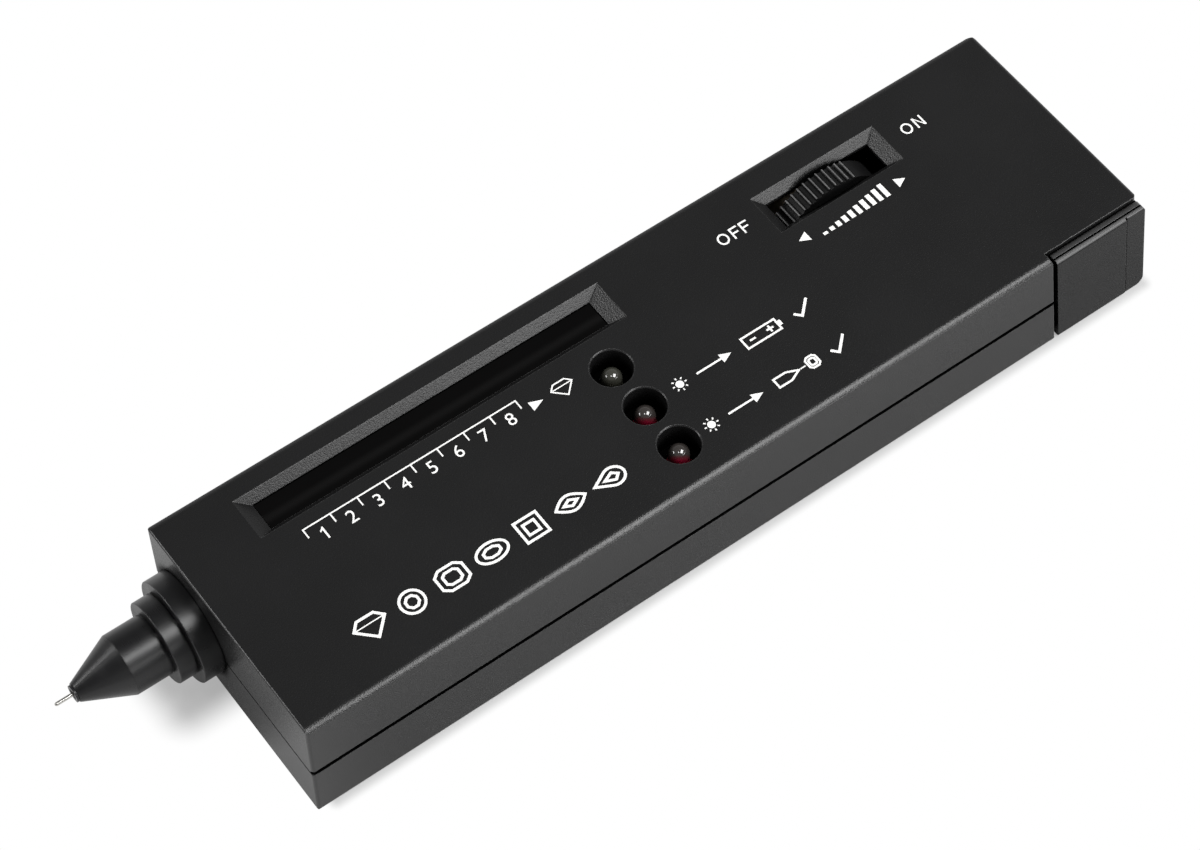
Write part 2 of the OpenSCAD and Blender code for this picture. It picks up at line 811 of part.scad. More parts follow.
module display_window() {
    color("#0a0808") union() {
        block([window_x0 + seat, display_y - opening_w / 2 + seat, window_z0],
            [window_x1 - seat, display_y + opening_w / 2 - seat, window_top]);
        block([window_x0 - window_flange_w, display_y - opening_w / 2 - window_flange_w, window_z0],
            [window_x1 + window_flange_w, display_y + opening_w / 2 + window_flange_w, ceiling]);
    }
}

module case_screws() {
    color("#8d8f92") for (p = BOSSES) difference() {
        union() {
            rod_z(head_r, sink_d - head_t, sink_d, p[0], p[1]);
            rod_z(screw_r, sink_d, split_z + screw_reach, p[0], p[1]);
        }
        cross_recess(p[0], p[1], sink_d - head_t, head_r);
    }
}

// The probe

module probe_collar() {
    color("#1f1f21") turned([
        [plug_d, chamber_r], [plug_d, flange_r], [-wall - seat, flange_r], [-wall - seat, neck_r],
        [0, neck_r], [0, collar_r], [collar_t - edge_break, collar_r], [collar_t, collar_r - edge_break],
        [collar_t, spigot_r], [ring_d + screw_in, spigot_r], [ring_d + screw_in, chamber_r]
    ]);
}

module probe_ring() {
    color("#1f1f21") turned([
        [collar_t, spigot_r + fit], [collar_t, ring_r - 2 * pinch], [collar_t + pinch, ring_r - 2 * pinch],
        [collar_t + pinch, ring_r], [ring_d - edge_break, ring_r], [ring_d, ring_r - edge_break],
        [ring_d, spigot_r + fit]
    ]);
}

module probe_barrel() {
    color("#19191a") turned([
        [ring_d, spigot_r + fit], [ring_d, barrel_r - pinch], [ring_d + pinch, barrel_r - pinch],
        [ring_d + pinch, barrel_r], [barrel_d, barrel_r], [barrel_d, chamber_r + 2 * fit],
        [barrel_d - cone_in - seat, chamber_r + 2 * fit], [barrel_d - cone_in - seat, chamber_r],
        [ring_d + screw_in + seat, chamber_r], [ring_d + screw_in + seat, spigot_r + fit]
    ]);
}

module nose_cone() {
    color("#19191a") turned([
        [barrel_d - cone_in, carrier_r + run], [barrel_d - cone_in, chamber_r + fit],
        [barrel_d, chamber_r + fit], [barrel_d, barrel_r], [cone_d, cone_tip_r], [cone_d, bush_r + fit],
        [cone_d - bush_l, bush_r + fit],
        [cone_d - bush_l - carrier_chamfer, carrier_r + run]
    ]);
}

module tip_bush() {
    color("#303032") turned([
        [cone_d - bush_l, needle_r + run], [cone_d - bush_l, bush_r], [cone_d, bush_r], [cone_d, bush_lip_r],
        [cone_d + bush_lip_t, bush_lip_r], [cone_d + bush_lip_t, bush_cup_r],
        [cone_d + bush_lip_t - bush_cup_d, needle_r + run]
    ]);
}

module needle() {
    color("#c9c7c2") turned([
        [needle_root_d, 0], [needle_root_d, needle_r], [tip_d - needle_r, needle_r],
        [tip_d - needle_r * 0.3, needle_r * 0.7], [tip_d, 0]
    ]);
}

module needle_carrier() {
    end_d = needle_root_d + carrier_sleeve;
    color("#b58d4a") turned([
        [stem_d, 0], [stem_d, stem_r], [stop_d - stop_t, stem_r], [stop_d - stop_t, stop_r],
        [stop_d, stop_r], [stop_d, carrier_r], [end_d - carrier_chamfer, carrier_r],
        [end_d, carrier_r - carrier_chamfer], [end_d, needle_r + fit], [needle_root_d, needle_r + fit],
        [needle_root_d, 0]
    ]);
}

module heater() {
    color("#d8d2c4") sleeve(stem_d - heater_l, stem_d, heater_r, 0);
}

module probe_spring() {
    wire = 6;
    turn_rings = 8;
    d0 = plug_d + plug_l + spring_wire_r + seat;
    d1 = stop_d - stop_t - spring_wire_r - seat;
    count = spring_turns * turn_rings;
    color("#a9abb0") translate([front_x, probe_y, probe_z]) skin([for (k = [0:count])
        let (
            a = 360 * k / turn_rings,
            out = [0, cos(a), sin(a)],
            middle = spring_r * out - [d0 + (d1 - d0) * k / count, 0, 0]
        )
        [for (s = [0:wire - 1])
            middle + spring_wire_r * (cos(360 * s / wire) * out - sin(360 * s / wire) * [1, 0, 0])]]);
}

module probe_plug() {
    back_d = plug_d - plug_head_t;
    color("#3a3632") union() {
        sleeve(plug_d, plug_d + plug_l, chamber_r - fit, 0);
        sleeve(back_d, plug_d, plug_head_r, 0);
        for (s = [-1, 1])
            rod_x(plug_pin_r, front_x - plug_d, front_x - back_d + plug_pin_l,
                probe_y + s * plug_pin_y, probe_z);
    }
}

module probe_leads() {
    start_x = front_x - plug_d + plug_head_t + plug_pin_l;
    end_x = board_x0 + probe_lead_in;
    end_y = probe_y - probe_lead_off;
    end_z = board_top + probe_lead_r * 9 / 8;
    color("#d9d9d5") for (s = [-plug_pin_y, plug_pin_y])
        lead([
            [start_x, probe_y + s, probe_z], [start_x + probe_lead_run, probe_y + s, probe_z],
            [(start_x + end_x) / 2, (probe_y + end_y) / 2 + s * 5 / 3,
                (probe_z + end_z) / 2 + probe_lead_r * 3 / 2],
            [end_x - probe_lead_run, end_y + s, end_z + probe_lead_r / 8], [end_x, end_y + s, end_z]
        ], probe_lead_r);
}

// The thumbwheel and what it turns

function wheel_edge() = concat(
    [for (k = [0:ridge_count - smooth_ridges - 1], j = [0:3])
        let (
            a = smooth_to + ridge_step * (k + [0.27, 0.43, 0.57, 0.73][j]),
            r = wheel_r - (j == 0 || j == 3 ? ridge_d : 0)
        )
        r * [cos(a), sin(a)]],
    [for (j = [0:24])
        let (a = 360 + smooth_from + (smooth_to - smooth_from) * j / 24)
        (wheel_r - ridge_d / 2) * [cos(a), sin(a)]]
);

module thumbwheel() {
    color("#1c1c1d") difference() {
        translate([wheel_x, 0, wheel_z]) along_y(wheel_y0, wheel_y1) polygon(wheel_edge());
        rod_y(shaft_r + fit, wheel_y0 - past, wheel_y1 + past, wheel_x, wheel_z);
        rod_y(hub_r, wheel_y0 - past, wheel_y0 + hub_d, wheel_x, wheel_z);
    }
}

module wheel_shaft() {
    color("#b9bbbf") difference() {
        rod_y(shaft_r, wheel_y0 + hub_d, switch_y0 - seat, wheel_x, wheel_z);
        rod_y(shaft_r / 2 + fit, wheel_y0, wheel_y0 + hub_d + wheel_w, wheel_x, wheel_z);
    }
}

module wheel_screw() {
    head_y1 = wheel_y0 + hub_d;
    color("#9a9ca0") union() {
        rod_y(shaft_r + shaft_r / 3, wheel_y0 + hub_d / 4, head_y1, wheel_x, wheel_z);
        rod_y(shaft_r / 2, wheel_y0 + hub_d / 2, head_y1 + wheel_w - seat, wheel_x, wheel_z);
    }
}

module potentiometer() {
    pin_t = 0.5;
    pin_x0 = arm_x1 - pot_pin_l;
    pin_y = (pot_y0 + switch_y0) / 2;
    color("#7d6a4f") difference() {
        union() {
            rod_y(pot_r, pot_y0, switch_y0, wheel_x, wheel_z);
            for (k = [0, 1])
                block([pin_x0, pin_y - pin_t, board_top + k * 3 * pin_t],
                    [wheel_x - pot_r / 2, pin_y + pin_t, board_top + k * 3 * pin_t + pin_t]);
        }
        rod_y(shaft_r + run, pot_y0 - past, switch_y0 + past, wheel_x, wheel_z);
    }
}

module power_switch() {
    color("#4d4a46") rod_y(pot_r * 0.9, switch_y0, pot_y1, wheel_x, wheel_z);
}

// Lamps and the lights of the bar

module lamp(y) {
    translate([lamp_x, y, 0]) {
        translate([0, 0, lamp_z0]) rotate_extrude() {
            square([lamp_flange_r, lamp_flange_t]);
            square([lamp_r, lamp_h - lamp_r]);
            translate([0, lamp_h - lamp_r]) intersection() {
                circle(lamp_r);
                square(2 * lamp_r);
            }
        }
        for (s = [-1, 1]) translate([0, s * pin_pitch / 2, (board_top + lamp_z0) / 2])
            cube([pin_w, pin_w, lamp_z0 - board_top], center = true);
    }
}

module signal_lamp() {
    color("#8d8f80") lamp(lamp_y);
}

module battery_lamp() {
    color("#7a1018") lamp(lamp_y - lamp_pitch);
}

module ready_lamp() {
    color("#7a1018") lamp(lamp_y - 2 * lamp_pitch);
}

module lamp_spacers() {
    color("#dedcd4") lamp_places() difference() {
        cylinder_between(spacer_r, board_top, lamp_z0);
        for (s = [-1, 1]) translate([0, s * pin_pitch / 2, 0])
            cylinder_between(pin_w, board_top - past, lamp_z0 + past);
    }
}

module bar_lights(places) {
    for (k = places) translate([bar_first_x + k * bar_pitch, display_y, 0]) {
        block([-bar_light_l / 2, -bar_light_w / 2, bar_z0], [bar_light_l / 2, bar_light_w / 2, bar_top]);
        for (s = [-1, 1]) translate([0, s * pin_pitch / 2, (board_top + bar_z0) / 2])
            cube([pin_w, pin_w, bar_z0 - board_top], center = true);
    }
}

module green_bars() {
    color("#3c7a35") bar_lights(GREEN_BARS);
}

module amber_bars() {
    color("#b9862b") bar_lights(AMBER_BARS);
}

module red_bars() {
    color("#8c1f1f") bar_lights(RED_BARS);
}

module bar_holder() {
    half_l = bar_light_l / 2;
    half_d = bar_light_w / 2;
    last = RED_BARS[2];
    x0 = bar_first_x - half_l - holder_margin;
    x1 = bar_first_x + last * bar_pitch + half_l + holder_margin;
    color("#1b1b1c") difference() {
        block([x0, display_y - half_d - holder_margin, board_top],
            [x1, display_y + half_d + holder_margin, holder_z1]);
        for (k = [0:last]) translate([bar_first_x + k * bar_pitch, display_y, 0])
            block([-half_l - seat, -half_d - seat, board_top - past],
                [half_l + seat, half_d + seat, bar_top]);
    }
}

// The board and what stands on it

module main_board() {
    color("#2f6b3c") difference() {
        translate([0, 0, board_z0]) linear_extrude(board_t) polygon([
            [board_x0, -board_y1], [board_x1, -board_y1], [board_x1, arm_y0],
            [arm_x1, arm_y0], [arm_x1, board_y1], [board_x0, board_y1]
        ]);
        for (p = BOSSES) rod_z(boss_r + room, board_z0 - past, board_top + past, p[0], p[1]);
        for (p = BOARD_POSTS) rod_z(board_screw_r + room, board_z0 - past, board_top + past, p[0], p[1]);
    }
}

module board_screws() {
    head_h = 1;
    color("#8d8f92") for (p = BOARD_POSTS) {
        rod_z(2 * board_screw_r, board_top, board_top + head_h, p[0], p[1]);
        rod_z(board_screw_r, board_z0 - board_screw_l, board_top, p[0], p[1]);
    }
}

// A chip with two rows of legs, in a row of the board
module chip(from, row, legs) {
    chip_h = 3.3;
    lift = 0.5;
    leg_w = 1.2;
    leg_h = 2;
    length = legs * pin_pitch;
    translate([board_x0 + from, row_y(row), board_top]) {
        block([-length / 2, -chip_w / 2, lift], [length / 2, chip_w / 2, lift + chip_h]);
        for (k = [0:legs - 1], s = [-1, 1])
            translate([(k - (legs - 1) / 2) * pin_pitch, s * (chip_w + pin_w) / 2, leg_h / 2])
                cube([leg_w, pin_w, leg_h], center = true);
    }
}

module driver_chip() {
    color("#2c2c2e") chip(driver_from, 1, 9);
}

module amplifier_chips() {
    color("#2c2c2e") for (row = [0, 1]) chip(amplifier_from, row, 4);
}

module capacitors() {
    can_r = 2.5;
    can_h = 7.5;
    color("#2b3a63") for (k = [0:2])
        rod_z(can_r, board_top, board_top + can_h, board_x0 + capacitor_from + k * capacitor_pitch, row_y(0));
}

module resistors() {
    body_r = 1;
    body_l = 5.6;
    wire_l = row_w - seat;
    y = row_y(2);
    z = board_top + body_r;
    color("#c7a97c") for (k = [0:6]) {
        x = board_x0 + resistor_from + k * resistor_pitch;
        rod_y(body_r, y - body_l / 2, y + body_l / 2, x, z);
        rod_y(pin_w / 2, y - wire_l / 2, y + wire_l / 2, x, z);
    }
}

module trimmers() {
    side = 6;
    height = 4.4;
    knob_r = side / 3;
    knob_h = 0.6;
    slot_w = 0.8;
    color("#2d55a0") for (k = [0, 1])
        translate([board_x0 + trimmer_from + k * trimmer_pitch, row_y(2), board_top]) difference() {
            union() {
                translate([-side / 2, -side / 2, 0]) cube([side, side, height]);
                cylinder(r = knob_r, h = height + knob_h);
            }
            translate([-side / 4, -slot_w / 2, height]) cube([side / 2, slot_w, height]);
        }
}

module transistors() {
    can_r = 2.3;
    leg_h = 2;
    can_h = 4.6;
    color("#232325") for (s = [-1, 1])
        translate([board_x0 + transistor_from, row_y(1) + s * transistor_pitch / 2, board_top]) {
            difference() {
                translate([0, 0, leg_h]) cylinder(r = can_r, h = can_h);
                translate([-can_r, can_r / 2, 0]) cube([2 * can_r, can_r, 2 * can_h]);
            }
            for (k = [-1, 0, 1]) translate([k * pin_pitch / 2, 0, leg_h / 2])
                cube([pin_w, pin_w, leg_h], center = true);
        }
}

module buzzer() {
    can_r = 5;
    can_h = 7;
    hole_r = 1;
    hole_d = 1.5;
    x = board_x0 + buzzer_from;
    y = (row_y(0) + row_y(1)) / 2;
    color("#1d1d1f") difference() {
        rod_z(can_r, board_top, board_top + can_h, x, y);
        rod_z(hole_r, board_top + can_h - hole_d, board_top + can_h + past, x, y);
    }
}

// The battery and its lead

module battery_section() {
    y0 = battery_y0;
    z0 = battery_z0;
    translate([y0 + battery_r, z0]) square([battery_w - 2 * battery_r, battery_h]);
    translate([y0, z0 + battery_r]) square([battery_w, battery_h - 2 * battery_r]);
    for (y = [y0 + battery_r, y0 + battery_w - battery_r], z = [z0 + battery_r, z0 + battery_h - battery_r])
        translate([y, z]) circle(battery_r);
}

module battery() {
    color("#b3832f") along_x(battery_x0, battery_x1) battery_section();
}

module battery_terminals() {
    color("#c4c6c9") {
        rod_x(post_r, battery_x0 - terminal_h, battery_x0, battery_y - terminal_pitch / 2, battery_z);
        rod_x(socket_r, battery_x0 - terminal_h, battery_x0, battery_y + terminal_pitch / 2, battery_z);
    }
}

module snap_connector() {
    back_x = battery_x0 - terminal_h - seat;
    color("#202022") difference() {
        block([connector_x0, battery_y - connector_w / 2, battery_z - connector_h / 2],
            [connector_x1, battery_y + connector_w / 2, battery_z + connector_h / 2]);
        rod_x(post_r + seat, back_x, connector_x1 + past, battery_y - terminal_pitch / 2, battery_z);
        rod_x(socket_r + seat, back_x, connector_x1 + past, battery_y + terminal_pitch / 2, battery_z);
    }
}

// A lead from the connector over the board to its pad, on one side or the other of the pair
module battery_lead(side) {
    start_y = battery_y + lead_off + side * lead_pitch / 2;
    end_y = row_y(2) + side * lead_pitch / 2;
    z = battery_z + lead_up;
    end_x = board_x1 - lead_in;
    lead([
        [connector_x0, start_y, z], [connector_x0 - lead_run, start_y, z],
        [board_x1 - lead_run, (start_y + end_y) / 2, z + lead_rise],
        [end_x + lead_run / 2, end_y, z + lead_rise * 4 / 5], [end_x, end_y, z - lead_run / 2],
        [end_x - lead_run / 10, end_y, board_top + lead_r / 6]
    ], lead_r, [1, 0.3, 0.4]);
}

module red_lead() {
    color("#b3241f") battery_lead(1);
}

module black_lead() {
    color("#161617") battery_lead(-1);
}

top_case();
bottom_case();
battery_cover();
cover_pad();
display_window();
case_screws();
probe_collar();
probe_ring();
probe_barrel();
nose_cone();
tip_bush();
needle();
needle_carrier();
heater();
probe_spring();
probe_plug();
probe_leads();
thumbwheel();
wheel_shaft();
wheel_screw();
potentiometer();
power_switch();
signal_lamp();
battery_lamp();
ready_lamp();
lamp_spacers();
green_bars();
amber_bars();
red_bars();
bar_holder();
main_board();
board_screws();
driver_chip();
amplifier_chips();
capacitors();
resistors();
trimmers();
transistors();
buzzer();
battery();
battery_terminals();
snap_connector();
red_lead();
black_lead();
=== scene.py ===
"""Looks of the diamond tester pen: finishes, printed marks, lamps and studio around its CAD frame."""

import sys

import logging
import math
from dataclasses import dataclass, field
from enum import Enum
from typing import Iterable, Sequence, Union

import bmesh
import bpy
from mathutils import Euler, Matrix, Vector


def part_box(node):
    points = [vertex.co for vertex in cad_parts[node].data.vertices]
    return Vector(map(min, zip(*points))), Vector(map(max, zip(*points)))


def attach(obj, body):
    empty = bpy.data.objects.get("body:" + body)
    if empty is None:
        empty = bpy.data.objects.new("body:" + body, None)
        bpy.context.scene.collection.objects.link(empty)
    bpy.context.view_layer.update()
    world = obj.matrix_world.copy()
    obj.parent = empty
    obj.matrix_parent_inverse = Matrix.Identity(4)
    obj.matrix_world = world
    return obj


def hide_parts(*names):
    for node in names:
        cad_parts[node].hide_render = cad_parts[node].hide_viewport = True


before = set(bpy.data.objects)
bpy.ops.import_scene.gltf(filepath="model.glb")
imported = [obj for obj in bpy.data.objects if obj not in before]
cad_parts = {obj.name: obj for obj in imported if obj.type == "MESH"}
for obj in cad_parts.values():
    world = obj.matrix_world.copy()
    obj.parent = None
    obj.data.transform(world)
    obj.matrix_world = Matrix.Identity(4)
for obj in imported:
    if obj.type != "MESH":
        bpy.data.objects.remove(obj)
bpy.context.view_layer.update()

LOG = logging.getLogger("tester_pen")
MM = 0.001

Colour = tuple[float, float, float]
Point = tuple[float, float]
Place = tuple[float, float, float]
Stops = tuple[tuple[float, Colour], ...]
Operand = Union["Value", float]
Setting = Union["Value", float, Sequence[float]]
Sockets = dict[Union[int, str], Setting]
Dressing = tuple[tuple[Union["Finish", str], ...], ...]

ZINC: Colour = (0.50, 0.51, 0.52)
CORNERS = ((-1, -1), (1, -1), (1, 1), (-1, 1))
ROUTE_STEPS = 8
LEAD_SIDES = 16
ROUND_POINTS = 40

# Where a mask starts and where it is full
WEAR_AND_HIGHLIGHT_LEAN: Point = (0.02, 0.25)
HALF_UP: Point = (0.3, 0.6)
NEAR_LEVEL: Point = (0.82, 0.95)
GAP_SHADE_DEEP: Point = (0.16, 0.5)
FOOT_CLEAR: Point = (1 * MM, 2 * MM)

LEVEL_LOSS = 0.6
# How much the lightened edges, partly real wearing and partly a painted highlight, take from the colour
# itself
WEAR_AND_HIGHLIGHT_GAIN = 1.3
NOISE_MIDDLE = 0.5
# Colour of the painted shade in deep gaps
GAP_SHADE_COLOUR: Colour = (0.001, 0.001, 0.001)


class Body(Enum):
    """The CAD bodies that pieces ride on."""

    CASE = "case"
    COVER = "cover"


class Axis(Enum):
    """An axis of the shared frame, by its place in a vector."""

    X = 0
    Y = 1
    Z = 2

    def factors(self, along: float, across: float) -> Place:
        """One factor along this axis and another across it."""
        return tuple(along if k == self.value else across for k in range(3))


# Shader maths


class Value:
    """An output socket of a shader node that can be used in Python arithmetic."""

    def __init__(self, graph: "Graph", socket: bpy.types.NodeSocket) -> None:
        """Keeps the socket and the graph that it belongs to."""
        self.graph = graph
        self.socket = socket

    def __add__(self, other: Operand) -> "Value":
        """This value plus another."""
        return self.graph.math("ADD", self, other)

    def __radd__(self, other: Operand) -> "Value":
        """Another value plus this one."""
        return self.graph.math("ADD", other, self)

    def __sub__(self, other: Operand) -> "Value":
        """This value minus another."""
        return self.graph.math("SUBTRACT", self, other)

    def __rsub__(self, other: Operand) -> "Value":
        """Another value minus this one."""
        return self.graph.math("SUBTRACT", other, self)

    def __mul__(self, other: Operand) -> "Value":
        """This value times another."""
        return self.graph.math("MULTIPLY", self, other)

    def __rmul__(self, other: Operand) -> "Value":
        """Another value times this one."""
        return self.graph.math("MULTIPLY", other, self)

    def swing(self, span: float) -> "Value":
        """Noise brought about zero, with a span of its own."""
        return (self - NOISE_MIDDLE) * span

    def ramp(self, low: float, high: float) -> "Value":
        """This value's share of the way from low to high, eased and clamped to 0 and 1."""
        settings = {"interpolation_type": "SMOOTHSTEP"}
        return self.graph.add("ShaderNodeMapRange", settings, {0: self, 1: low, 2: high})


class Graph:
    """The node tree of one material, built from Python expressions."""

    def __init__(self, tree: bpy.types.NodeTree) -> None:
        """Empties a node tree and takes it over."""
        self.tree = tree
        self.tree.nodes.clear()

    def add(
        self,
        kind: str,
        settings: dict[str, object],
        sockets: Sockets,
        out: Union[int, str] = 0,
    ) -> Value | None:
        """Adds a node.

        Args:
            kind: The node's type.
            settings: Its properties, and "stops" for a colour ramp's positions and colours.
            sockets: Values or links of its inputs, by name or number.
            out: The output to hand back, by name or number.

        Returns:
            The chosen output, or nothing from a node that has none.
        """
        node = self.tree.nodes.new(kind)
        for name, setting in settings.items():
            if name == "stops":
                self._set_stops(node.color_ramp, setting)
            else:
                setattr(node, name, setting)
        for key, value in sockets.items():
            if isinstance(value, Value):
                self.tree.links.new(value.socket, node.inputs[key])
            else:
                node.inputs[key].default_value = value
        return Value(self, node.outputs[out]) if node.outputs else None

    def _set_stops(self, ramp: bpy.types.ColorRamp, stops: Stops) -> None:
        """Gives a colour ramp its stops.

        Args:
            ramp: The ramp.
            stops: Positions and colours.
        """
        while len(ramp.elements) < len(stops):
            ramp.elements.new(1.0)
        for element, (place, colour) in zip(ramp.elements, stops):
            element.position = place
            element.color = (*colour, 1.0)

    def math(self, operation: str, a: Operand, b: Operand) -> Value:
        """The result of one arithmetic step."""
        return self.add("ShaderNodeMath", {"operation": operation}, {0: a, 1: b})

    def mix(self, share: Operand, a: Setting, b: Setting) -> Value:
        """A colour between two colours."""
        sockets = {0: share, 6: _rgba(a), 7: _rgba(b)}
        return self.add("ShaderNodeMix", {"data_type": "RGBA"}, sockets, out=2)

    def here(self) -> Value:
        """The surface point in the shared frame, in metres."""
        return self.add("ShaderNodeTexCoord", {}, {}, out="Object")

    def along(self, axis: Axis) -> Value:
        """The surface point's position along one axis, in metres."""
        return self.add("ShaderNodeSeparateXYZ", {}, {0: self.here()}, out=axis.value)

    def vector(self, operation: str, *inputs: Setting, out: Union[int, str] = 0) -> Value:
        """The result of one step on vectors."""
        return self.add("ShaderNodeVectorMath", {"operation": operation}, dict(enumerate(inputs)), out)

    def tone(self, share: Value, colour: Colour, spread: float) -> Value:
        """A colour that goes darker and lighter by a share of itself."""
        return self.mix(share, _scaled(colour, 1 - spread), _scaled(colour, 1 + spread))

    def noise(self, pitch: float, detail: float = 2.0, stretch: Place = (1.0, 1.0, 1.0)) -> Value:
        """Cloudy noise.

        Args:
            pitch: Size of its features in metres.
            detail: How many finer layers it has.
            stretch: Factors on the three axes that lengthen the features where they are below one.

        Returns:
            The noise, about 0.2 to 0.8.
        """
        point = self.vector("MULTIPLY", self.here(), stretch)
        sockets = {"Vector": point, "Scale": 1 / pitch, "Detail": detail, "Roughness": 0.55}
        return self.add("ShaderNodeTexNoise", {}, sockets)

    def cells(self, pitch: float) -> Value:
        """Distance to the nearest cell centre, in cells of a size in metres."""
        sockets = {"Vector": self.here(), "Scale": 1 / pitch}
        return self.add("ShaderNodeTexVoronoi", {"feature": "F1"}, sockets, out="Distance")

    def facing(self) -> Value:
        """The surface's own normal."""
        return self.add("ShaderNodeNewGeometry", {}, {}, out="Normal")

    def edge_normal(self, radius: float) -> Value:
        """The surface normal with sharp edges eased over a radius."""
        return self.add("ShaderNodeBevel", {"samples": 6}, {"Radius": radius})

    def edge_wear_and_highlight(self, radius: float) -> Value:
        """A mask that is one along sharp outer edges and zero on flat faces; it lightens edges partly as
        real wearing and partly as a painted highlight.
        """
        same = self.vector("DOT_PRODUCT", self.edge_normal(radius), self.facing(), out="Value")
        return (1 - same).ramp(*WEAR_AND_HIGHLIGHT_LEAN)

    def sloped(self) -> Value:
        """A mask that is one on faces that lean half up, less on level ones and zero on upright ones."""
        rise = self.add("ShaderNodeSeparateXYZ", {}, {0: self.facing()}, out=Axis.Z.value)
        return rise.ramp(*HALF_UP) * (1 - rise.ramp(*NEAR_LEVEL) * LEVEL_LOSS)

    def bump(self, height: Value, depth: float, normal: Value | None = None) -> Value:
        """A normal with small relief.

        Args:
            height: The relief, 0 to 1.
            depth: Its depth in metres.
            normal: The normal that it is laid on.

        Returns:
            The normal.
        """
        sockets: Sockets = {"Height": height, "Distance": depth, "Strength": 1.0}
        if normal is not None:
            sockets["Normal"] = normal
        return self.add("ShaderNodeBump", {}, sockets)

    def gap(self, reach: float) -> Value:
        """A mask of painted shade: one in gaps of a width in metres, and zero in the open and at the foot.
        """
        open_share = self.add("ShaderNodeAmbientOcclusion", {"samples": 8}, {"Distance": reach}, out="AO")
        return (1 - open_share).ramp(*GAP_SHADE_DEEP) * self.along(Axis.Z).ramp(*FOOT_CLEAR)

    def surface(self, sockets: Sockets, gap: Value | None = None) -> None:
        """Ends the graph in a Principled BSDF, mixed towards a near-black shader as painted shade.

        Args:
            sockets: The shader's sockets.
            gap: A mask of painted shade, where a near-black shader stands in for places too deep to be lit.
        """
        shader = self.add("ShaderNodeBsdfPrincipled", {}, sockets)
        if gap is not None:
            # A near-black shader painted into deep gaps as shade
            dark = self.add("ShaderNodeBsdfDiffuse", {}, {"Color": _rgba(GAP_SHADE_COLOUR)})
            shader = self.add("ShaderNodeMixShader", {}, {0: gap, 1: shader, 2: dark})
        self.add("ShaderNodeOutputMaterial", {}, {"Surface": shader})


def _rgba(colour: Setting) -> Setting:
    """A colour with its alpha, or a link as it is."""
    return colour if isinstance(colour, Value) else (*colour, 1.0)


def _scaled(colour: Colour, factor: float) -> Colour:
    """A colour made lighter or darker."""
    return tuple(min(1.0, channel * factor) for channel in colour)


def new_graph(name: str) -> tuple[bpy.types.Material, Graph]:
    """Makes a material.

    Args:
        name: The material's name.

    Returns:
        The material and its empty graph.
    """
    material = bpy.data.materials.new(name)
    material.use_nodes = True
    return material, Graph(material.node_tree)


# Finishes


@dataclass(frozen=True)
class Finish:
    """A finish with its own name. Each kind of finish fills in the graph in its own way."""

    name: str

    def make(self) -> bpy.types.Material:
        """Makes the finish.

        Returns:
            Its material.
        """
        material, g = new_graph(self.name)
        self.shade(g)
        return material

    def shade(self, g: Graph) -> None:
        """Fills in the material's graph."""
        raise NotImplementedError


@dataclass(frozen=True)
class Plastic(Finish):
    """Moulded plastic with a fine spark-eroded grain and cloudy tone; its edges are lightened partly by real
    wearing and partly as a painted highlight, faces that lean half up can carry a painted highlight, and
    deep gaps a painted shade.
    """

    colour: Colour
    roughness: float = 0.4
    cloud: float = 18 * MM
    grain: float = 0.25 * MM
    depth: float = 0.012 * MM
    tone: float = 0.12
    edge: float = 0.12 * MM
    wear_and_highlight_share: float = 0.3
    wear_and_highlight_lift: float = 0.04
    slope_highlight: float = 0.0
    shine: float = 0.5
    coat: float = 0.0
    gap: float = 0.0

    def shade(self, g: Graph) -> None:
        """Fills in the material.

        Args:
            g: Its graph.
        """
        cloud = g.noise(self.cloud, 3.0)
        grain = g.noise(self.grain, 1.5)
        # Edges lightened partly by real wearing and partly as a painted highlight
        wear_and_highlight = g.edge_wear_and_highlight(self.edge) * self.wear_and_highlight_share
        # Faces that lean half up get a painted highlight
        if self.slope_highlight:
            wear_and_highlight = wear_and_highlight + g.sloped() * self.slope_highlight
        pale = tuple(self.wear_and_highlight_lift + WEAR_AND_HIGHLIGHT_GAIN * channel for channel in self.colour)
        g.surface({
            "Base Color": g.mix(wear_and_highlight, g.tone(cloud, self.colour, self.tone), pale),
            "Roughness": self.roughness + cloud.swing(0.1) + grain.swing(0.12),
            "Normal": g.bump(grain, self.depth, g.edge_normal(self.edge)),
            "Specular IOR Level": self.shine,
            "Coat Weight": self.coat,
        # Deep gaps get a painted shade
        }, g.gap(self.gap) if self.gap else None)


@dataclass(frozen=True)
class Turned(Finish):
    """A piece turned on a lathe, with fine marks round its axis and a trace of handling."""

    colour: Colour
    axis: Axis
    roughness: float = 0.22
    pitch: float = 0.12 * MM
    depth: float = 0.0012 * MM
    smear: float = 3 * MM
    metal: float = 0.0
    edge: float = 0.08 * MM
    wear_and_highlight_share: float = 0.3
    shine: float = 0.5

    def shade(self, g: Graph) -> None:
        """Fills in the material.

        Args:
            g: Its graph.
        """
        marks = g.noise(self.pitch, 2.0, self.axis.factors(1.0, 0.02))
        smear = g.noise(self.smear, 3.0)
        # Edges lightened partly by real wearing and partly as a painted highlight
        wear_and_highlight = g.edge_wear_and_highlight(self.edge) * self.wear_and_highlight_share
        g.surface({
            "Base Color": g.mix(wear_and_highlight, g.tone(smear, self.colour, 0.12), _scaled(self.colour, 1.6)),
            "Roughness": self.roughness + smear.swing(0.16) + marks.swing(0.06),
            "Metallic": self.metal,
            "Specular IOR Level": self.shine,
            "Normal": g.bump(marks, self.depth, g.edge_normal(self.edge)),
        })


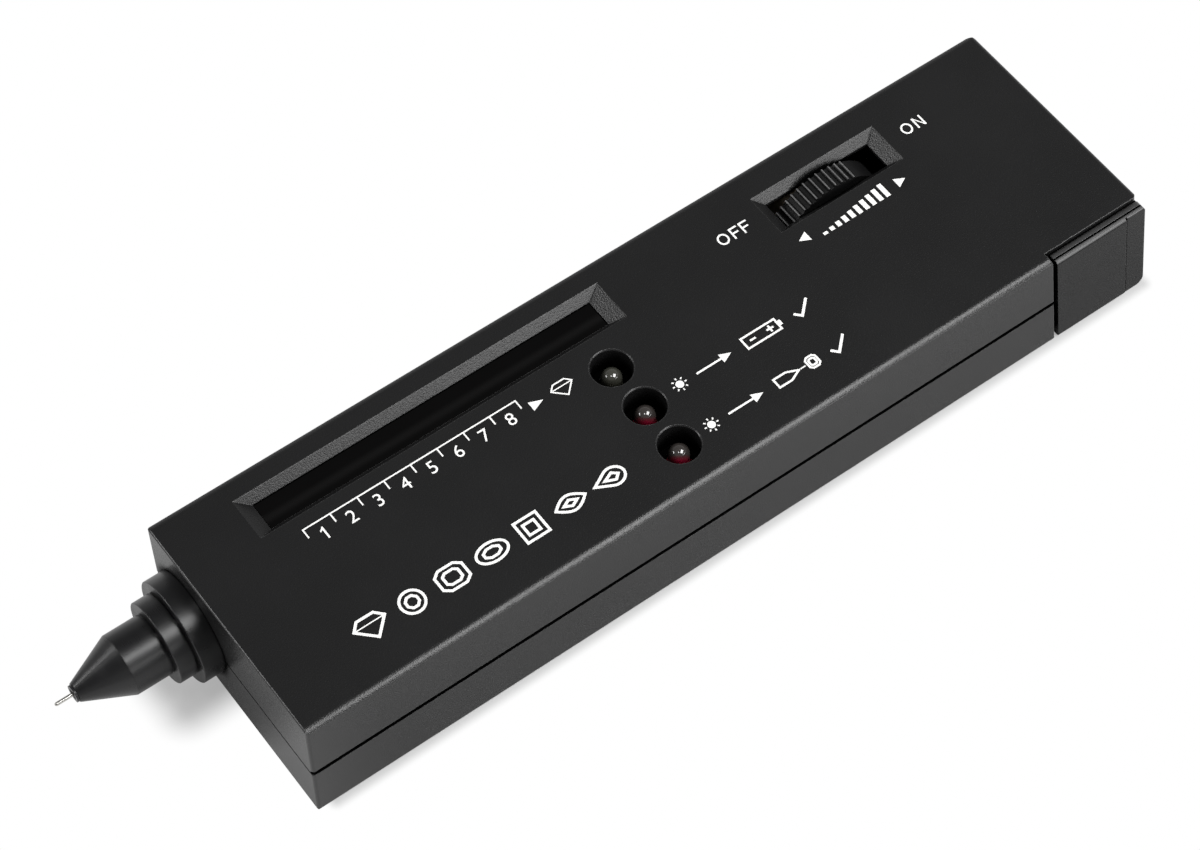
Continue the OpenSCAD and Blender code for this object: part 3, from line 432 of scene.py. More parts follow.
@dataclass(frozen=True)
class Ridged(Finish):
    """A ridged plastic wheel about an axis along Y: crests painted pale as a highlight, valleys dull and
    dark, with painted shade in deep gaps.
    """

    colour: Colour
    crest_highlight: Colour
    axis: Place
    low: float
    high: float
    shine: float = 0.25
    speck: float = 0.4 * MM
    depth: float = 0.002 * MM
    edge: float = 0.04 * MM
    gap: float = 0.8 * MM

    def shade(self, g: Graph) -> None:
        """Fills in the material.

        Args:
            g: Its graph.
        """
        level = g.vector("MULTIPLY", g.vector("SUBTRACT", g.here(), self.axis), (1.0, 0.0, 1.0))
        radius = g.vector("LENGTH", level, out="Value")
        speck = g.noise(self.speck)
        # Crests get a painted highlight, flecked by the specks
        wear_and_highlight = radius.ramp(self.low, self.high) * (0.2 + speck * 1.3)
        g.surface({
            "Base Color": g.mix(wear_and_highlight, self.colour, self.crest_highlight),
            "Roughness": 0.5 - wear_and_highlight * 0.2 + speck.swing(0.1),
            "Specular IOR Level": self.shine,
            "Normal": g.bump(speck, self.depth, g.edge_normal(self.edge)),
        # Deep gaps get a painted shade
        }, g.gap(self.gap))


@dataclass(frozen=True)
class Sheet(Finish):
    """Plated or stamped metal with a directional brushing and dull spots."""

    colour: Colour
    axis: Axis = Axis.X
    roughness: float = 0.3
    pitch: float = 0.15 * MM
    depth: float = 0.002 * MM
    spot: float = 2.5 * MM
    edge: float = 0.06 * MM

    def shade(self, g: Graph) -> None:
        """Fills in the material.

        Args:
            g: Its graph.
        """
        brushing = g.noise(self.pitch, 2.0, self.axis.factors(0.05, 1.0))
        spots = g.noise(self.spot, 3.0).ramp(0.5, 0.7)
        g.surface({
            "Base Color": g.mix(spots * 0.35, self.colour, _scaled(self.colour, 0.6)),
            "Roughness": self.roughness + brushing * 0.1 + spots * 0.15,
            "Metallic": 1.0,
            "Normal": g.bump(brushing, self.depth, g.edge_normal(self.edge)),
        })


@dataclass(frozen=True)
class Epoxy(Finish):
    """Tinted lamp epoxy with flow lines and a few dust specks. Its colour is painted light: it moves from
    the crown colour on top to a second colour on the side away from the light, a painted glowing side where
    light is focused through the dome.

    The heart is the dome's middle and the way points from it into the painted glowing side, as shares of the
    lamp's box.
    """

    crown: Colour
    painted_glow: Colour
    heart: Place = (0.5, 0.5, 0.698)
    way: Place = (-1.225, -1.675, -1.835)
    low: float = 0.0
    high: float = 0.75
    roughness: float = 0.07
    flow: float = 0.8 * MM
    dust: float = 0.12 * MM
    depth: float = 0.002 * MM

    def shade(self, g: Graph) -> None:
        """Fills in the material.

        Args:
            g: Its graph.
        """
        flow = g.noise(self.flow)
        dust = g.noise(self.dust, 1.0).ramp(0.68, 0.76)
        place = g.add("ShaderNodeTexCoord", {}, {}, out="Generated")
        along = g.vector("DOT_PRODUCT", g.vector("SUBTRACT", place, self.heart), self.way, out="Value")
        # Painted light: the colour moves from the crown colour towards the second colour on the side away
        # from the light
        lit = (along + flow.swing(0.3)).ramp(self.low, self.high)
        g.surface({
            "Base Color": g.mix(lit, self.crown, self.painted_glow),
            "Roughness": self.roughness + dust * 0.2 + flow.swing(0.06),
            "Transmission Weight": 0.25,
            "IOR": 1.52,
            "Coat Weight": 0.9,
            "Coat IOR": 1.6,
            "Normal": g.bump(flow, self.depth),
        })


@dataclass(frozen=True)
class Window(Finish):
    """A smoked strip: near-black acrylic with polish marks and a faint pale band along it that is a painted
    sheen.
    """

    colour: Colour
    # Colour of the painted sheen along the strip
    line: Colour
    sheen_y: float
    sheen_w: float
    polish: float = 0.4 * MM
    haze: float = 6 * MM
    depth: float = 0.0008 * MM
    edge: float = 0.08 * MM

    def shade(self, g: Graph) -> None:
        """Fills in the material.

        Args:
            g: Its graph.
        """
        polish = g.noise(self.polish, 2.0, Axis.X.factors(0.05, 1.0))
        haze = g.noise(self.haze, 3.0)
        y = g.along(Axis.Y)
        low, high = self.sheen_y - self.sheen_w, self.sheen_y + self.sheen_w
        # A painted sheen: a lighter band across Y
        pale = y.ramp(low, self.sheen_y) * (1 - y.ramp(self.sheen_y, high))
        g.surface({
            "Base Color": g.mix(pale, g.tone(haze, self.colour, 0.2), self.line),
            "Roughness": 0.08 + haze * 0.06 + polish * 0.03,
            "Specular IOR Level": 0.15,
            "Normal": g.bump(polish, self.depth, g.edge_normal(self.edge)),
        })


@dataclass(frozen=True)
class Ink(Finish):
    """Screen-printed ink with slight mesh marks, thin spots and a dull skin."""

    colour: Colour
    mesh: float = 0.09 * MM
    thin: float = 0.5 * MM
    depth: float = 0.003 * MM

    def shade(self, g: Graph) -> None:
        """Fills in the material.

        Args:
            g: Its graph.
        """
        mesh = g.noise(self.mesh, 1.0)
        thin = g.noise(self.thin, 3.0).ramp(0.62, 0.8)
        g.surface({
            "Base Color": g.mix(thin * 0.25, self.colour, _scaled(self.colour, 0.55)),
            "Roughness": 0.5 + mesh.swing(0.2),
            "Normal": g.bump(mesh, self.depth),
        })


@dataclass(frozen=True)
class Foam(Finish):
    """Open-cell foam rubber, with painted shade inside its cells."""

    colour: Colour
    pore: float = 0.35 * MM
    soil: float = 4 * MM
    depth: float = 0.12 * MM

    def shade(self, g: Graph) -> None:
        """Fills in the material.

        Args:
            g: Its graph.
        """
        pores = g.cells(self.pore)
        soil = g.noise(self.soil, 3.0)
        # Painted shade inside the cells
        inside = 1 - pores.ramp(0.05, 0.5)
        g.surface({
            "Base Color": g.mix(inside, g.tone(soil, self.colour, 0.2), _scaled(self.colour, 0.3)),
            "Roughness": 0.85 + soil.swing(0.1),
            "Normal": g.bump(pores, self.depth),
        })


@dataclass(frozen=True)
class Laminate(Finish):
    """Green board laminate with copper tracks under the mask."""

    mask: Colour
    track: Colour
    pitch: float = 9 * MM
    weave: float = 0.5 * MM
    copper: float = 0.035 * MM
    edge: float = 0.05 * MM

    def shade(self, g: Graph) -> None:
        """Fills in the material.

        Args:
            g: Its graph.
        """
        bricks = {"Vector": g.here(), "Scale": 1 / self.pitch, "Mortar Size": 0.035, "Bias": 0.0}
        tracks = g.add("ShaderNodeTexBrick", {"offset": 0.37, "squash": 1.6}, bricks, out="Fac")
        weave = g.noise(self.weave, 2.0, Axis.Y.factors(0.2, 1.0))
        g.surface({
            "Base Color": g.mix(tracks * 0.7, g.tone(weave, self.mask, 0.15), self.track),
            "Roughness": 0.32 + weave * 0.12,
            "Normal": g.bump(tracks, self.copper, g.edge_normal(self.edge)),
        })


@dataclass(frozen=True)
class Striped(Finish):
    """A finish with stripes across one axis, such as a resistor's rings or a battery's jacket."""

    axis: Axis
    start: float
    end: float
    stops: Stops
    roughness: float = 0.4
    metal: float = 0.0
    scuff: float = 1.2 * MM
    scuffed: Colour = (0.35, 0.34, 0.33)
    wave: float = 5 * MM
    dents: float = 0.02 * MM
    edge: float = 0.1 * MM

    def shade(self, g: Graph) -> None:
        """Fills in the material.

        Args:
            g: Its graph.
        """
        share = (g.along(self.axis) - self.start) * (1 / (self.end - self.start))
        bands = g.add("ShaderNodeValToRGB", {"stops": self.stops}, {"Fac": share})
        scuffs = g.noise(self.scuff, 4.0).ramp(0.6, 0.75)
        waves = g.noise(self.wave)
        g.surface({
            "Base Color": g.mix(scuffs * 0.25, bands, self.scuffed),
            "Roughness": self.roughness + scuffs * 0.2 + waves.swing(0.1),
            "Metallic": self.metal,
            "Normal": g.bump(waves, self.dents, g.edge_normal(self.edge)),
        })


def hard_stops(bands: Iterable[tuple[float, Colour]], soft: float = 0.004) -> Stops:
    """Colour stops with sharp changes.

    Args:
        bands: Each band's start, as a share of the whole, and its colour.
        soft: Width of a change.

    Returns:
        The stops of a colour ramp.
    """
    stops: list[tuple[float, Colour]] = []
    for start, colour in bands:
        if stops:
            stops.append((start - soft, stops[-1][1]))
        stops.append((start, colour))
    return tuple(stops)


# Meshes and pieces


def add_piece(
    name: str, mesh: bpy.types.Mesh, material: bpy.types.Material, body: Body
) -> bpy.types.Object:
    """Adds a piece to the scene.

    Args:
        name: The piece's name.
        mesh: Its mesh, in the shared frame.
        material: Its finish.
        body: The body that it rides on.

    Returns:
        The piece's object.
    """
    piece = bpy.data.objects.new(name, mesh)
    bpy.context.scene.collection.objects.link(piece)
    mesh.materials.clear()
    mesh.materials.append(material)
    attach(piece, body.value)
    LOG.info("piece %s on %s, %d faces", name, body.value, len(mesh.polygons))
    return piece


def dress(material: bpy.types.Material, *nodes: str) -> None:
    """Gives CAD nodes a finish.

    Args:
        material: The finish.
        nodes: Names of the nodes.
    """
    for node in nodes:
        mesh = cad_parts[node].data
        mesh.materials.clear()
        mesh.materials.append(material)
        LOG.info("node %s in %s", node, material.name)


@dataclass
class Assembly:
    """A sub-assembly: CAD nodes with their finishes, and pieces that are made here."""

    dressing: Dressing = ()

    def dress(self) -> None:
        """Gives the CAD nodes their finishes."""
        for finish, *nodes in self.dressing:
            dress(finish.make(), *nodes)

    def build(self) -> None:
        """Makes the pieces, where there are any."""


def to_mesh(name: str, bm: bmesh.types.BMesh, smooth: bool) -> bpy.types.Mesh:
    """Turns a bmesh into a mesh with outward normals.

    Args:
        name: The mesh's name.
        bm: The bmesh, which is freed.
        smooth: Whether its faces are shaded smooth.

    Returns:
        The mesh.
    """
    bmesh.ops.recalc_face_normals(bm, faces=bm.faces)
    for face in bm.faces:
        face.smooth = smooth
    mesh = bpy.data.meshes.new(name)
    bm.to_mesh(mesh)
    bm.free()
    return mesh


def add_rings(bm: bmesh.types.BMesh, rings: Sequence[Sequence[Vector]]) -> None:
    """Skins a closed tube through rings of points and caps its ends.

    Args:
        bm: The bmesh to add to.
        rings: The rings, all with the same number of points.
    """
    rows = [[bm.verts.new(point) for point in points] for points in rings]
    for low, high in zip(rows, rows[1:]):
        for k in range(-1, len(low) - 1):
            bm.faces.new((low[k], low[k + 1], high[k + 1], high[k]))
    bm.faces.new(rows[0][::-1])
    bm.faces.new(rows[-1])


def add_turned(bm: bmesh.types.BMesh, centre: Point, outline: Sequence[Point], segments: int = 48) -> None:
    """Adds a solid of revolution about an upright axis.

    Args:
        bm: The bmesh to add to.
        centre: The axis in X and Y.
        outline: Radius and height of each ring, none of them on the axis.
        segments: How many sides it has.
    """
    turns = [2 * math.pi * k / segments for k in range(segments)]
    add_rings(bm, [
        [Vector((centre[0] + r * math.cos(a), centre[1] + r * math.sin(a), z)) for a in turns]
        for r, z in outline
    ])


def smooth_route(points: Sequence[Vector], steps: int) -> list[Vector]:
    """A smooth curve through points.

    Args:
        points: The points.
        steps: How many parts each stretch is cut into.

    Returns:
        The curve's points.
    """
    last = len(points) - 1
    route: list[Vector] = []
    for k in range(last):
        p, q = points[max(k - 1, 0)], points[k]
        r, s = points[k + 1], points[min(k + 2, last)]
        for j in range(steps):
            t = j / steps
            route.append(0.5 * (
                2 * q + (r - p) * t + (2 * p - 5 * q + 4 * r - s) * t**2 + (3 * q - p - 3 * r + s) * t**3
            ))
    route.append(points[last].copy())
    return route


def add_tube(bm: bmesh.types.BMesh, points: Sequence[Place], radius: float, up: Place) -> float:
    """Adds a round lead along a smooth route.

    Args:
        bm: The bmesh to add to.
        points: The route's points in millimetres.
        radius: The lead's radius in metres.
        up: A direction that the route never follows.

    Returns:
        The lead's length in metres.
    """
    route = smooth_route([Vector(point) * MM for point in points], ROUTE_STEPS)
    turns = [2 * math.pi * k / LEAD_SIDES for k in range(LEAD_SIDES)]
    rings = []
    for k, point in enumerate(route):
        way = (route[min(k + 1, len(route) - 1)] - route[max(k - 1, 0)]).normalized()
        side = Vector(up).cross(way).normalized()
        rings.append([point + radius * (math.cos(a) * side + math.sin(a) * way.cross(side)) for a in turns])
    add_rings(bm, rings)
    return sum((b - a).length for a, b in zip(route, route[1:]))


# Printed marks


def ring(centre: Point, rx: float, ry: float, count: int, turn: float = 0.0) -> list[Point]:
    """Points round an ellipse.

    Args:
        centre: Its middle.
        rx: Half its width.
        ry: Half its height.
        count: How many points.
        turn: Angle of the first point in degrees.

    Returns:
        The points.
    """
    angles = [math.radians(turn) + 2 * math.pi * k / count for k in range(count)]
    return [(centre[0] + rx * math.cos(a), centre[1] + ry * math.sin(a)) for a in angles]


def shifted(points: Iterable[Point], at: Point) -> list[Point]:
    """Points moved to a place."""
    return [(at[0] + u, at[1] + v) for u, v in points]


@dataclass
class Printer:
    """Collects flat marks on the top face as thin solids of ink. Sizes are in millimetres."""

    top: float
    stroke_w: float
    ink: float = 0.025
    sunk: float = 0.012
    sharpest: float = 0.35
    letter_size: Point = (1.55, 2.05)
    letter_w: float = 0.29
    round_extra: float = 0.3
    stem_in: float = 0.12
    arm_low: float = 0.02
    arm_short: float = 0.2
    slant: float = 1.25
    one_shares: tuple[Point, ...] = (
        (-0.01, 0.0), (0.13, 0.0), (0.13, 1.0), (0.03, 1.0),
        (-0.04, 0.89), (-0.2, 0.79), (-0.2, 0.66), (-0.01, 0.75),
    )
    bm: bmesh.types.BMesh = field(default_factory=bmesh.new)

    def _row(self, points: Iterable[Point], z: float) -> list[bmesh.types.BMVert]:
        """Corners of ink at one height."""
        return [self.bm.verts.new((x * MM, y * MM, z * MM)) for x, y in points]

    def line(self, points: Sequence[Point], closed: bool = False, width: float = 0.0) -> None:
        """Draws a line with mitred corners.

        Args:
            points: Its points.
            closed: Whether it returns to its start.
            width: Its width, or nothing for the usual one.
        """
        half = (width or self.stroke_w) / 2
        spots = [Vector(point) for point in points]
        ways = [(b - a).normalized() for a, b in zip(spots, spots[1:] + spots[:1])]
        left, right = [], []
        for k, spot in enumerate(spots):
            at_end = not closed and k in (0, len(spots) - 1)
            meeting = [ways[max(k - 1, 0)]] if at_end else [ways[k - 1], ways[k]]
            normals = [Vector((-way.y, way.x)) for way in meeting]
            mean = sum(normals, Vector((0.0, 0.0))).normalized()
            aside = mean * (half / max(self.sharpest, mean.dot(normals[0])))
            left.append(spot + aside)
            right.append(spot - aside)
        high, low = self.top + self.ink, self.top - self.sunk
        rows = [self._row(*side) for side in ((left, high), (right, high), (right, low), (left, low))]
        for k in range(-1 if closed else 0, len(spots) - 1):
            for a, b in zip(rows, rows[1:] + rows[:1]):
                self.bm.faces.new((a[k], a[k + 1], b[k + 1], b[k]))
        if not closed:
            self.bm.faces.new([row[0] for row in rows])
            self.bm.faces.new([row[-1] for row in rows][::-1])

    def fill(self, points: Sequence[Point]) -> None:
        """Fills an outline.

        Args:
            points: Its points, in order.
        """
        low, high = self._row(points, self.top - self.sunk), self._row(points, self.top + self.ink)
        for k in range(-1, len(points) - 1):
            self.bm.faces.new((low[k], low[k + 1], high[k + 1], high[k]))
        self.bm.faces.new(low[::-1])
        self.bm.faces.new(high)

    def box(self, x0: float, x1: float, y0: float, y1: float) -> None:
        """Fills a rectangle."""
        self.fill([(x0, y0), (x1, y0), (x1, y1), (x0, y1)])

    def arrow(self, tip: Point, length: float, half: float) -> None:
        """Fills an arrow's head that points along X, or back where its length is below zero."""
        self.fill(shifted([(0.0, 0.0), (-length, half), (-length, -half)], tip))

    def text(self, words: str, x: float, y0: float, y1: float) -> None:
        """Sets a number in the built-in letters.

        Args:
            words: What is set.
            x: Its middle.
            y0: Its foot.
            y1: Its head.
        """
        curve = bpy.data.curves.new("letters", "FONT")
        curve.body, curve.extrude, curve.resolution_u = words, 0.5, 5
        setter = bpy.data.objects.new("letters", curve)
        bpy.context.scene.collection.objects.link(setter)
        graph = bpy.context.evaluated_depsgraph_get()
        mesh = bpy.data.meshes.new_from_object(setter.evaluated_get(graph))
        bpy.data.objects.remove(setter)
        low = [min(v.co[k] for v in mesh.vertices) for k in range(2)]
        high = [max(v.co[k] for v in mesh.vertices) for k in range(2)]
        scale = (y1 - y0) / (high[1] - low[1])
        left = x - scale * (high[0] - low[0]) / 2
        for v in mesh.vertices:
            z = self.top + self.ink if v.co.z > 0 else self.top - self.sunk
            v.co = Vector((left + scale * (v.co.x - low[0]), y0 + scale * (v.co.y - low[1]), z)) * MM
        self.bm.from_mesh(mesh)
        bpy.data.meshes.remove(mesh)
        bpy.data.curves.remove(curve)

    def one(self, x: float, y0: float, y1: float) -> None:
        """Draws the number one with its flag."""
        self.fill([(x + u * (y1 - y0), y0 + v * (y1 - y0)) for u, v in self.one_shares])

    def letter(self, letter: str, x: float, y: float) -> None:
        """Draws an F, N or O of plain strokes.

        Args:
            letter: Which one.
            x: Its middle.
            y: Its middle height.
        """
        (w, h), t = self.letter_size, self.letter_w
        left, right, foot, head = x - w / 2, x + w / 2, y - h / 2, y + h / 2
        if letter == "O":
            outline = ring((x, y), (w + self.round_extra - t) / 2, (h - t) / 2, ROUND_POINTS)
            self.line(outline, closed=True, width=t)
        elif letter == "F":
            stem, arm = left + self.stem_in + t / 2, y - self.arm_low
            self.line([(stem, foot), (stem, head - t / 2), (right, head - t / 2)], width=t)
            self.line([(stem + t / 2, arm), (right - self.arm_short, arm)], width=t)
        else:
            self.box(left, left + t, foot, head)
            self.box(right - t, right, foot, head)
            left, right, rise = left + t, right - t, self.slant * t
            self.fill([(left, head - rise), (right, foot), (right, foot + rise), (left, head)])

    def finish(self, name: str) -> bpy.types.Mesh:
        """The collected marks as one mesh, with double points of the letters joined."""
        bmesh.ops.remove_doubles(self.bm, verts=self.bm.verts, dist=1e-8)
        return to_mesh(name, self.bm, smooth=False)


class Cut(Enum):
    """Plain outlines of cut stones, in the order of their row."""

    BRILLIANT = "brilliant"
    ROUND = "round"
    STEP = "step"
    OVAL = "oval"
    SQUARE = "square"
    POINTED = "pointed"
    DROP = "drop"


@dataclass
class Marks(Assembly):
    """The printed marks on the top face. Sizes are in millimetres."""

    ink: Finish = Ink("white_print_ink", (0.84, 0.84, 0.82))
    top: float = 22.7
    scale_w: float = 0.23
    sign_w: float = 0.32
    stone_w: float = 0.42
    scale_x0: float = -56.85
    scale_y: float = 6.77
    tick: float = 1.58
    pitch: float = 4.5
    steps: int = 8
    number_y: Point = (3.57, 5.67)
    number_x: float = -54.6
    scale_tip: Point = (-17.5, 4.62)
    scale_arrow: Point = (2.1, 0.84)
    scale_stone: Point = (-14.08, 4.47)
    scale_stone_size: Point = (3.6, 2.6)
    letters: tuple[tuple[str, float], ...] = (
        ("O", 20.02), ("F", 22.17), ("F", 23.97), ("O", 54.47), ("N", 56.77),
    )
    letters_y: float = 11.72
    less_tip: Point = (28.72, 4.92)
    more_tip: Point = (48.47, 4.72)
    wheel_arrow: Point = (1.7, 0.9)
    bars: int = 10
    bars_x: Point = (32.12, 45.12)
    bars_y: Point = (3.52, 6.12)
    bar_w: float = 0.76
    sign_rows: tuple[Point, Point] = ((-1.58, -4.78), (-2.08, -12.88))
    sign_lamp: float = 1.2
    sign_line: Point = (4.2, 8.6)
    sign_arrow: Point = (1.8, 0.8)
    sign_next: float = 12.8
    yes: tuple[Point, ...] = ((2.2, -0.05), (3.1, -1.0), (5.4, 1.2))
    yes_w: float = 0.42
    lamp_r: float = 0.62
    lamp_sides: int = 24
    rays: int = 8
    ray: Point = (0.85, 1.2)
    ray_w: float = 0.22
    cell: tuple[Point, ...] = ((0.0, -1.0), (6.0, -1.0), (6.0, 1.0), (0.0, 1.0))
    cell_knob: tuple[Point, ...] = ((6.14, -0.45), (6.65, -0.45), (6.65, 0.45), (6.14, 0.45))
    cell_poles: tuple[tuple[Point, Point], ...] = (
        ((1.0, 0.0), (2.0, 0.0)), ((4.0, 0.0), (5.2, 0.0)),
        ((4.6, 0.14), (4.6, 0.6)), ((4.6, -0.14), (4.6, -0.6)),
    )
    nose: tuple[Point, ...] = ((0.0, -0.8), (2.2, -0.8), (4.0, 0.0), (2.2, 0.8), (0.0, 0.8))
    nose_needle: tuple[Point, Point] = ((4.2, 0.0), (5.2, 0.0))
    nose_needle_w: float = 0.2
    nose_stone: float = 6.5
    nose_stone_w: float = 2.0
    stones_x: Point = (-61.08, -14.48)
    stones_y: float = -11.58
    stone_size: Point = (5.0, 3.7)
    girdle_w: float = 0.18
    facets: int = 8
    facet_turn: float = 22.5
    side_steps: int = 14
    bow_turn: int = 112
    bow_step: int = 14
    pen: Printer = field(init=False)

    def build(self) -> None:
        """Makes all the marks."""
        ink = self.ink.make()
        for name, draw, stroke in (
            ("scale_print", self.scale, self.scale_w),
            ("wheel_print", self.wheel, self.sign_w),
            ("lamp_print", self.lamps, self.sign_w),
            ("stone_print", self.stones, self.stone_w),
        ):
            self.pen = Printer(self.top, stroke)
            draw()
            add_piece(name, self.pen.finish(name), ink, Body.CASE)

    def scale(self) -> None:
        """Draws the display's scale with its numbers, arrow and stone."""
        x0, y = self.scale_x0, self.scale_y
        end, foot = x0 + self.pitch * self.steps, y - self.tick
        self.pen.line([(x0, foot), (x0, y), (end, y), (end, foot)])
        self.pen.one(self.number_x, *self.number_y)
        for k in range(1, self.steps):
            x = x0 + k * self.pitch
            self.pen.line([(x, foot), (x, y - self.pen.stroke_w / 2)])
            self.pen.text(str(k + 1), self.number_x + k * self.pitch, *self.number_y)
        self.pen.arrow(self.scale_tip, *self.scale_arrow)
        self.stone(Cut.BRILLIANT, self.scale_stone, self.scale_stone_size)

    def wheel(self) -> None:
        """Draws OFF and ON, and a rising row of bars between two arrows."""
        for letter, x in self.letters:
            self.pen.letter(letter, x, self.letters_y)
        length, half = self.wheel_arrow
        self.pen.arrow(self.less_tip, -length, half)
        self.pen.arrow(self.more_tip, length, half)
        (x0, x1), (foot, head) = self.bars_x, self.bars_y
        for k in range(self.bars):
            x = x0 + (x1 - x0) * (k + 0.5) / self.bars
            high = foot + (head - foot) * (k + 2) / (self.bars + 1)
            self.pen.box(x - self.bar_w / 2, x + self.bar_w / 2, foot, high)

    def lamps(self) -> None:
        """Draws a row of small signs beside each of the two lower lamps."""
        start, end = self.sign_line
        for (x, y), draw in zip(self.sign_rows, (self.battery_sign, self.probe_sign)):
            self.lamp_sign((x + self.sign_lamp, y))
            self.pen.line([(x + start, y), (x + end, y)])
            self.pen.arrow((x + end + self.sign_arrow[0], y), *self.sign_arrow)
            after = draw((x + self.sign_next, y))
            self.pen.line(shifted(self.yes, (after, y)), width=self.yes_w)

    def lamp_sign(self, at: Point) -> None:
        """Draws a lit lamp: a disc with short rays.

        Args:
            at: Its middle.
        """
        self.pen.fill(ring(at, self.lamp_r, self.lamp_r, self.lamp_sides))
        for points in zip(*(ring(at, r, r, self.rays) for r in self.ray)):
            self.pen.line(points, width=self.ray_w)

    def battery_sign(self, at: Point) -> float:
        """Draws a battery on its side, with its poles.

        Args:
            at: The middle of its left end.

        Returns:
            Where it ends.
        """
        self.pen.line(shifted(self.cell, at), closed=True)
        self.pen.fill(shifted(self.cell_knob, at))
        for pole in self.cell_poles:
            self.pen.line(shifted(pole, at))
        return at[0] + max(x for x, _ in self.cell_knob)

    def probe_sign(self, at: Point) -> float:
        """Draws the probe's nose over a stone.

        Args:
            at: The middle of its left end.

        Returns:
            Where it ends.
        """
        self.pen.line(shifted(self.nose, at), closed=True)
        self.pen.line(shifted(self.nose_needle, at), width=self.nose_needle_w)
        middle = at[0] + self.nose_stone
        self.stone(Cut.STEP, (middle, at[1]), (self.nose_stone_w, self.nose_stone_w))
        return middle + self.nose_stone_w / 2

    def stones(self) -> None:
        """Draws a row of plain stone outlines."""
        x0, x1 = self.stones_x
        for k, cut in enumerate(Cut):
            self.stone(cut, (x0 + (x1 - x0) * (k + 0.5) / len(Cut), self.stones_y), self.stone_size)

    def stone(self, cut: Cut, at: Point, size: Point) -> None:
        """Draws one stone. Its points are shares of half the width and height.

        Args:
            cut: Its outline.
            at: Its middle.
            size: Its width and height.
        """
        w, h = size

        def draw(*shares: Point, scale: float = 1.0) -> None:
            """Draws a closed outline."""
            points = [(u * scale * w / 2, v * scale * h / 2) for u, v in shares]
            self.pen.line(shifted(points, at), closed=True)

        if cut is Cut.BRILLIANT:
            draw((-1, 0.35), (-0.55, 1), (0.55, 1), (1, 0.35), (0, -1))
            girdle = [(-0.43 * w, 0.175 * h), (0.43 * w, 0.175 * h)]
            self.pen.line(shifted(girdle, at), width=self.girdle_w)
        elif cut is Cut.STEP:
            for scale in (1.0, 0.56):
                draw(
                    (0.495, 1), (0.9, 0.6), (0.9, -0.6), (0.495, -1),
                    (-0.495, -1), (-0.9, -0.6), (-0.9, 0.6), (-0.495, 1), scale=scale,
                )
        elif cut is Cut.SQUARE:
            for scale in (1.0, 0.5):
                draw(*((a * h / w, b) for a, b in CORNERS), scale=scale)
        elif cut is Cut.ROUND:
            self.pen.line(ring(at, h / 2, h / 2, ROUND_POINTS), closed=True)
            self.pen.line(ring(at, h * 0.27, h * 0.27, self.facets, self.facet_turn), closed=True)
        elif cut is Cut.OVAL:
            self.pen.line(ring(at, w / 2, h * 0.42, ROUND_POINTS), closed=True)
            self.pen.line(ring(at, w * 0.28, h * 0.22, self.facets, self.facet_turn), closed=True)
        elif cut is Cut.POINTED:
            shares = [k / self.side_steps for k in range(self.side_steps + 1)]
            side = [(2 * share - 1, 0.72 * math.sin(math.pi * share)) for share in shares]
            draw(*side, *((u, -v) for u, v in side[-2:0:-1]))
            draw((-0.45, 0), (0, 0.3), (0.45, 0), (0, -0.3))
        else:
            bow = range(-self.bow_turn, self.bow_turn + 1, self.bow_step)
            turns = [math.radians(degrees) for degrees in bow]
            draw(*((0.3 + 0.7 * math.cos(a), math.sin(a) * 0.8) for a in turns), (-1, 0))
            draw((-0.3, 0), (0.3, 0.36), (0.62, 0), (0.3, -0.36))


# Sub-assemblies


@dataclass
class Case(Assembly):
    """The two halves of the case with their screws."""

    dressing: Dressing = (
        # Edges lightened partly by real wearing and partly as a painted highlight; deep gaps get a painted
        # shade
        (Plastic(
            "black_case_plastic", (0.0092, 0.0092, 0.0094), roughness=0.29, grain=0.22 * MM, depth=0.03 * MM,
            edge=0.18 * MM, wear_and_highlight_share=0.9, wear_and_highlight_lift=0.12, shine=0.39, gap=2.5 * MM,
        ), "top_case", "bottom_case"),
        (Turned("zinc_screw", ZINC, Axis.Z, roughness=0.35, metal=1.0), "case_screws", "board_screws"),
    )


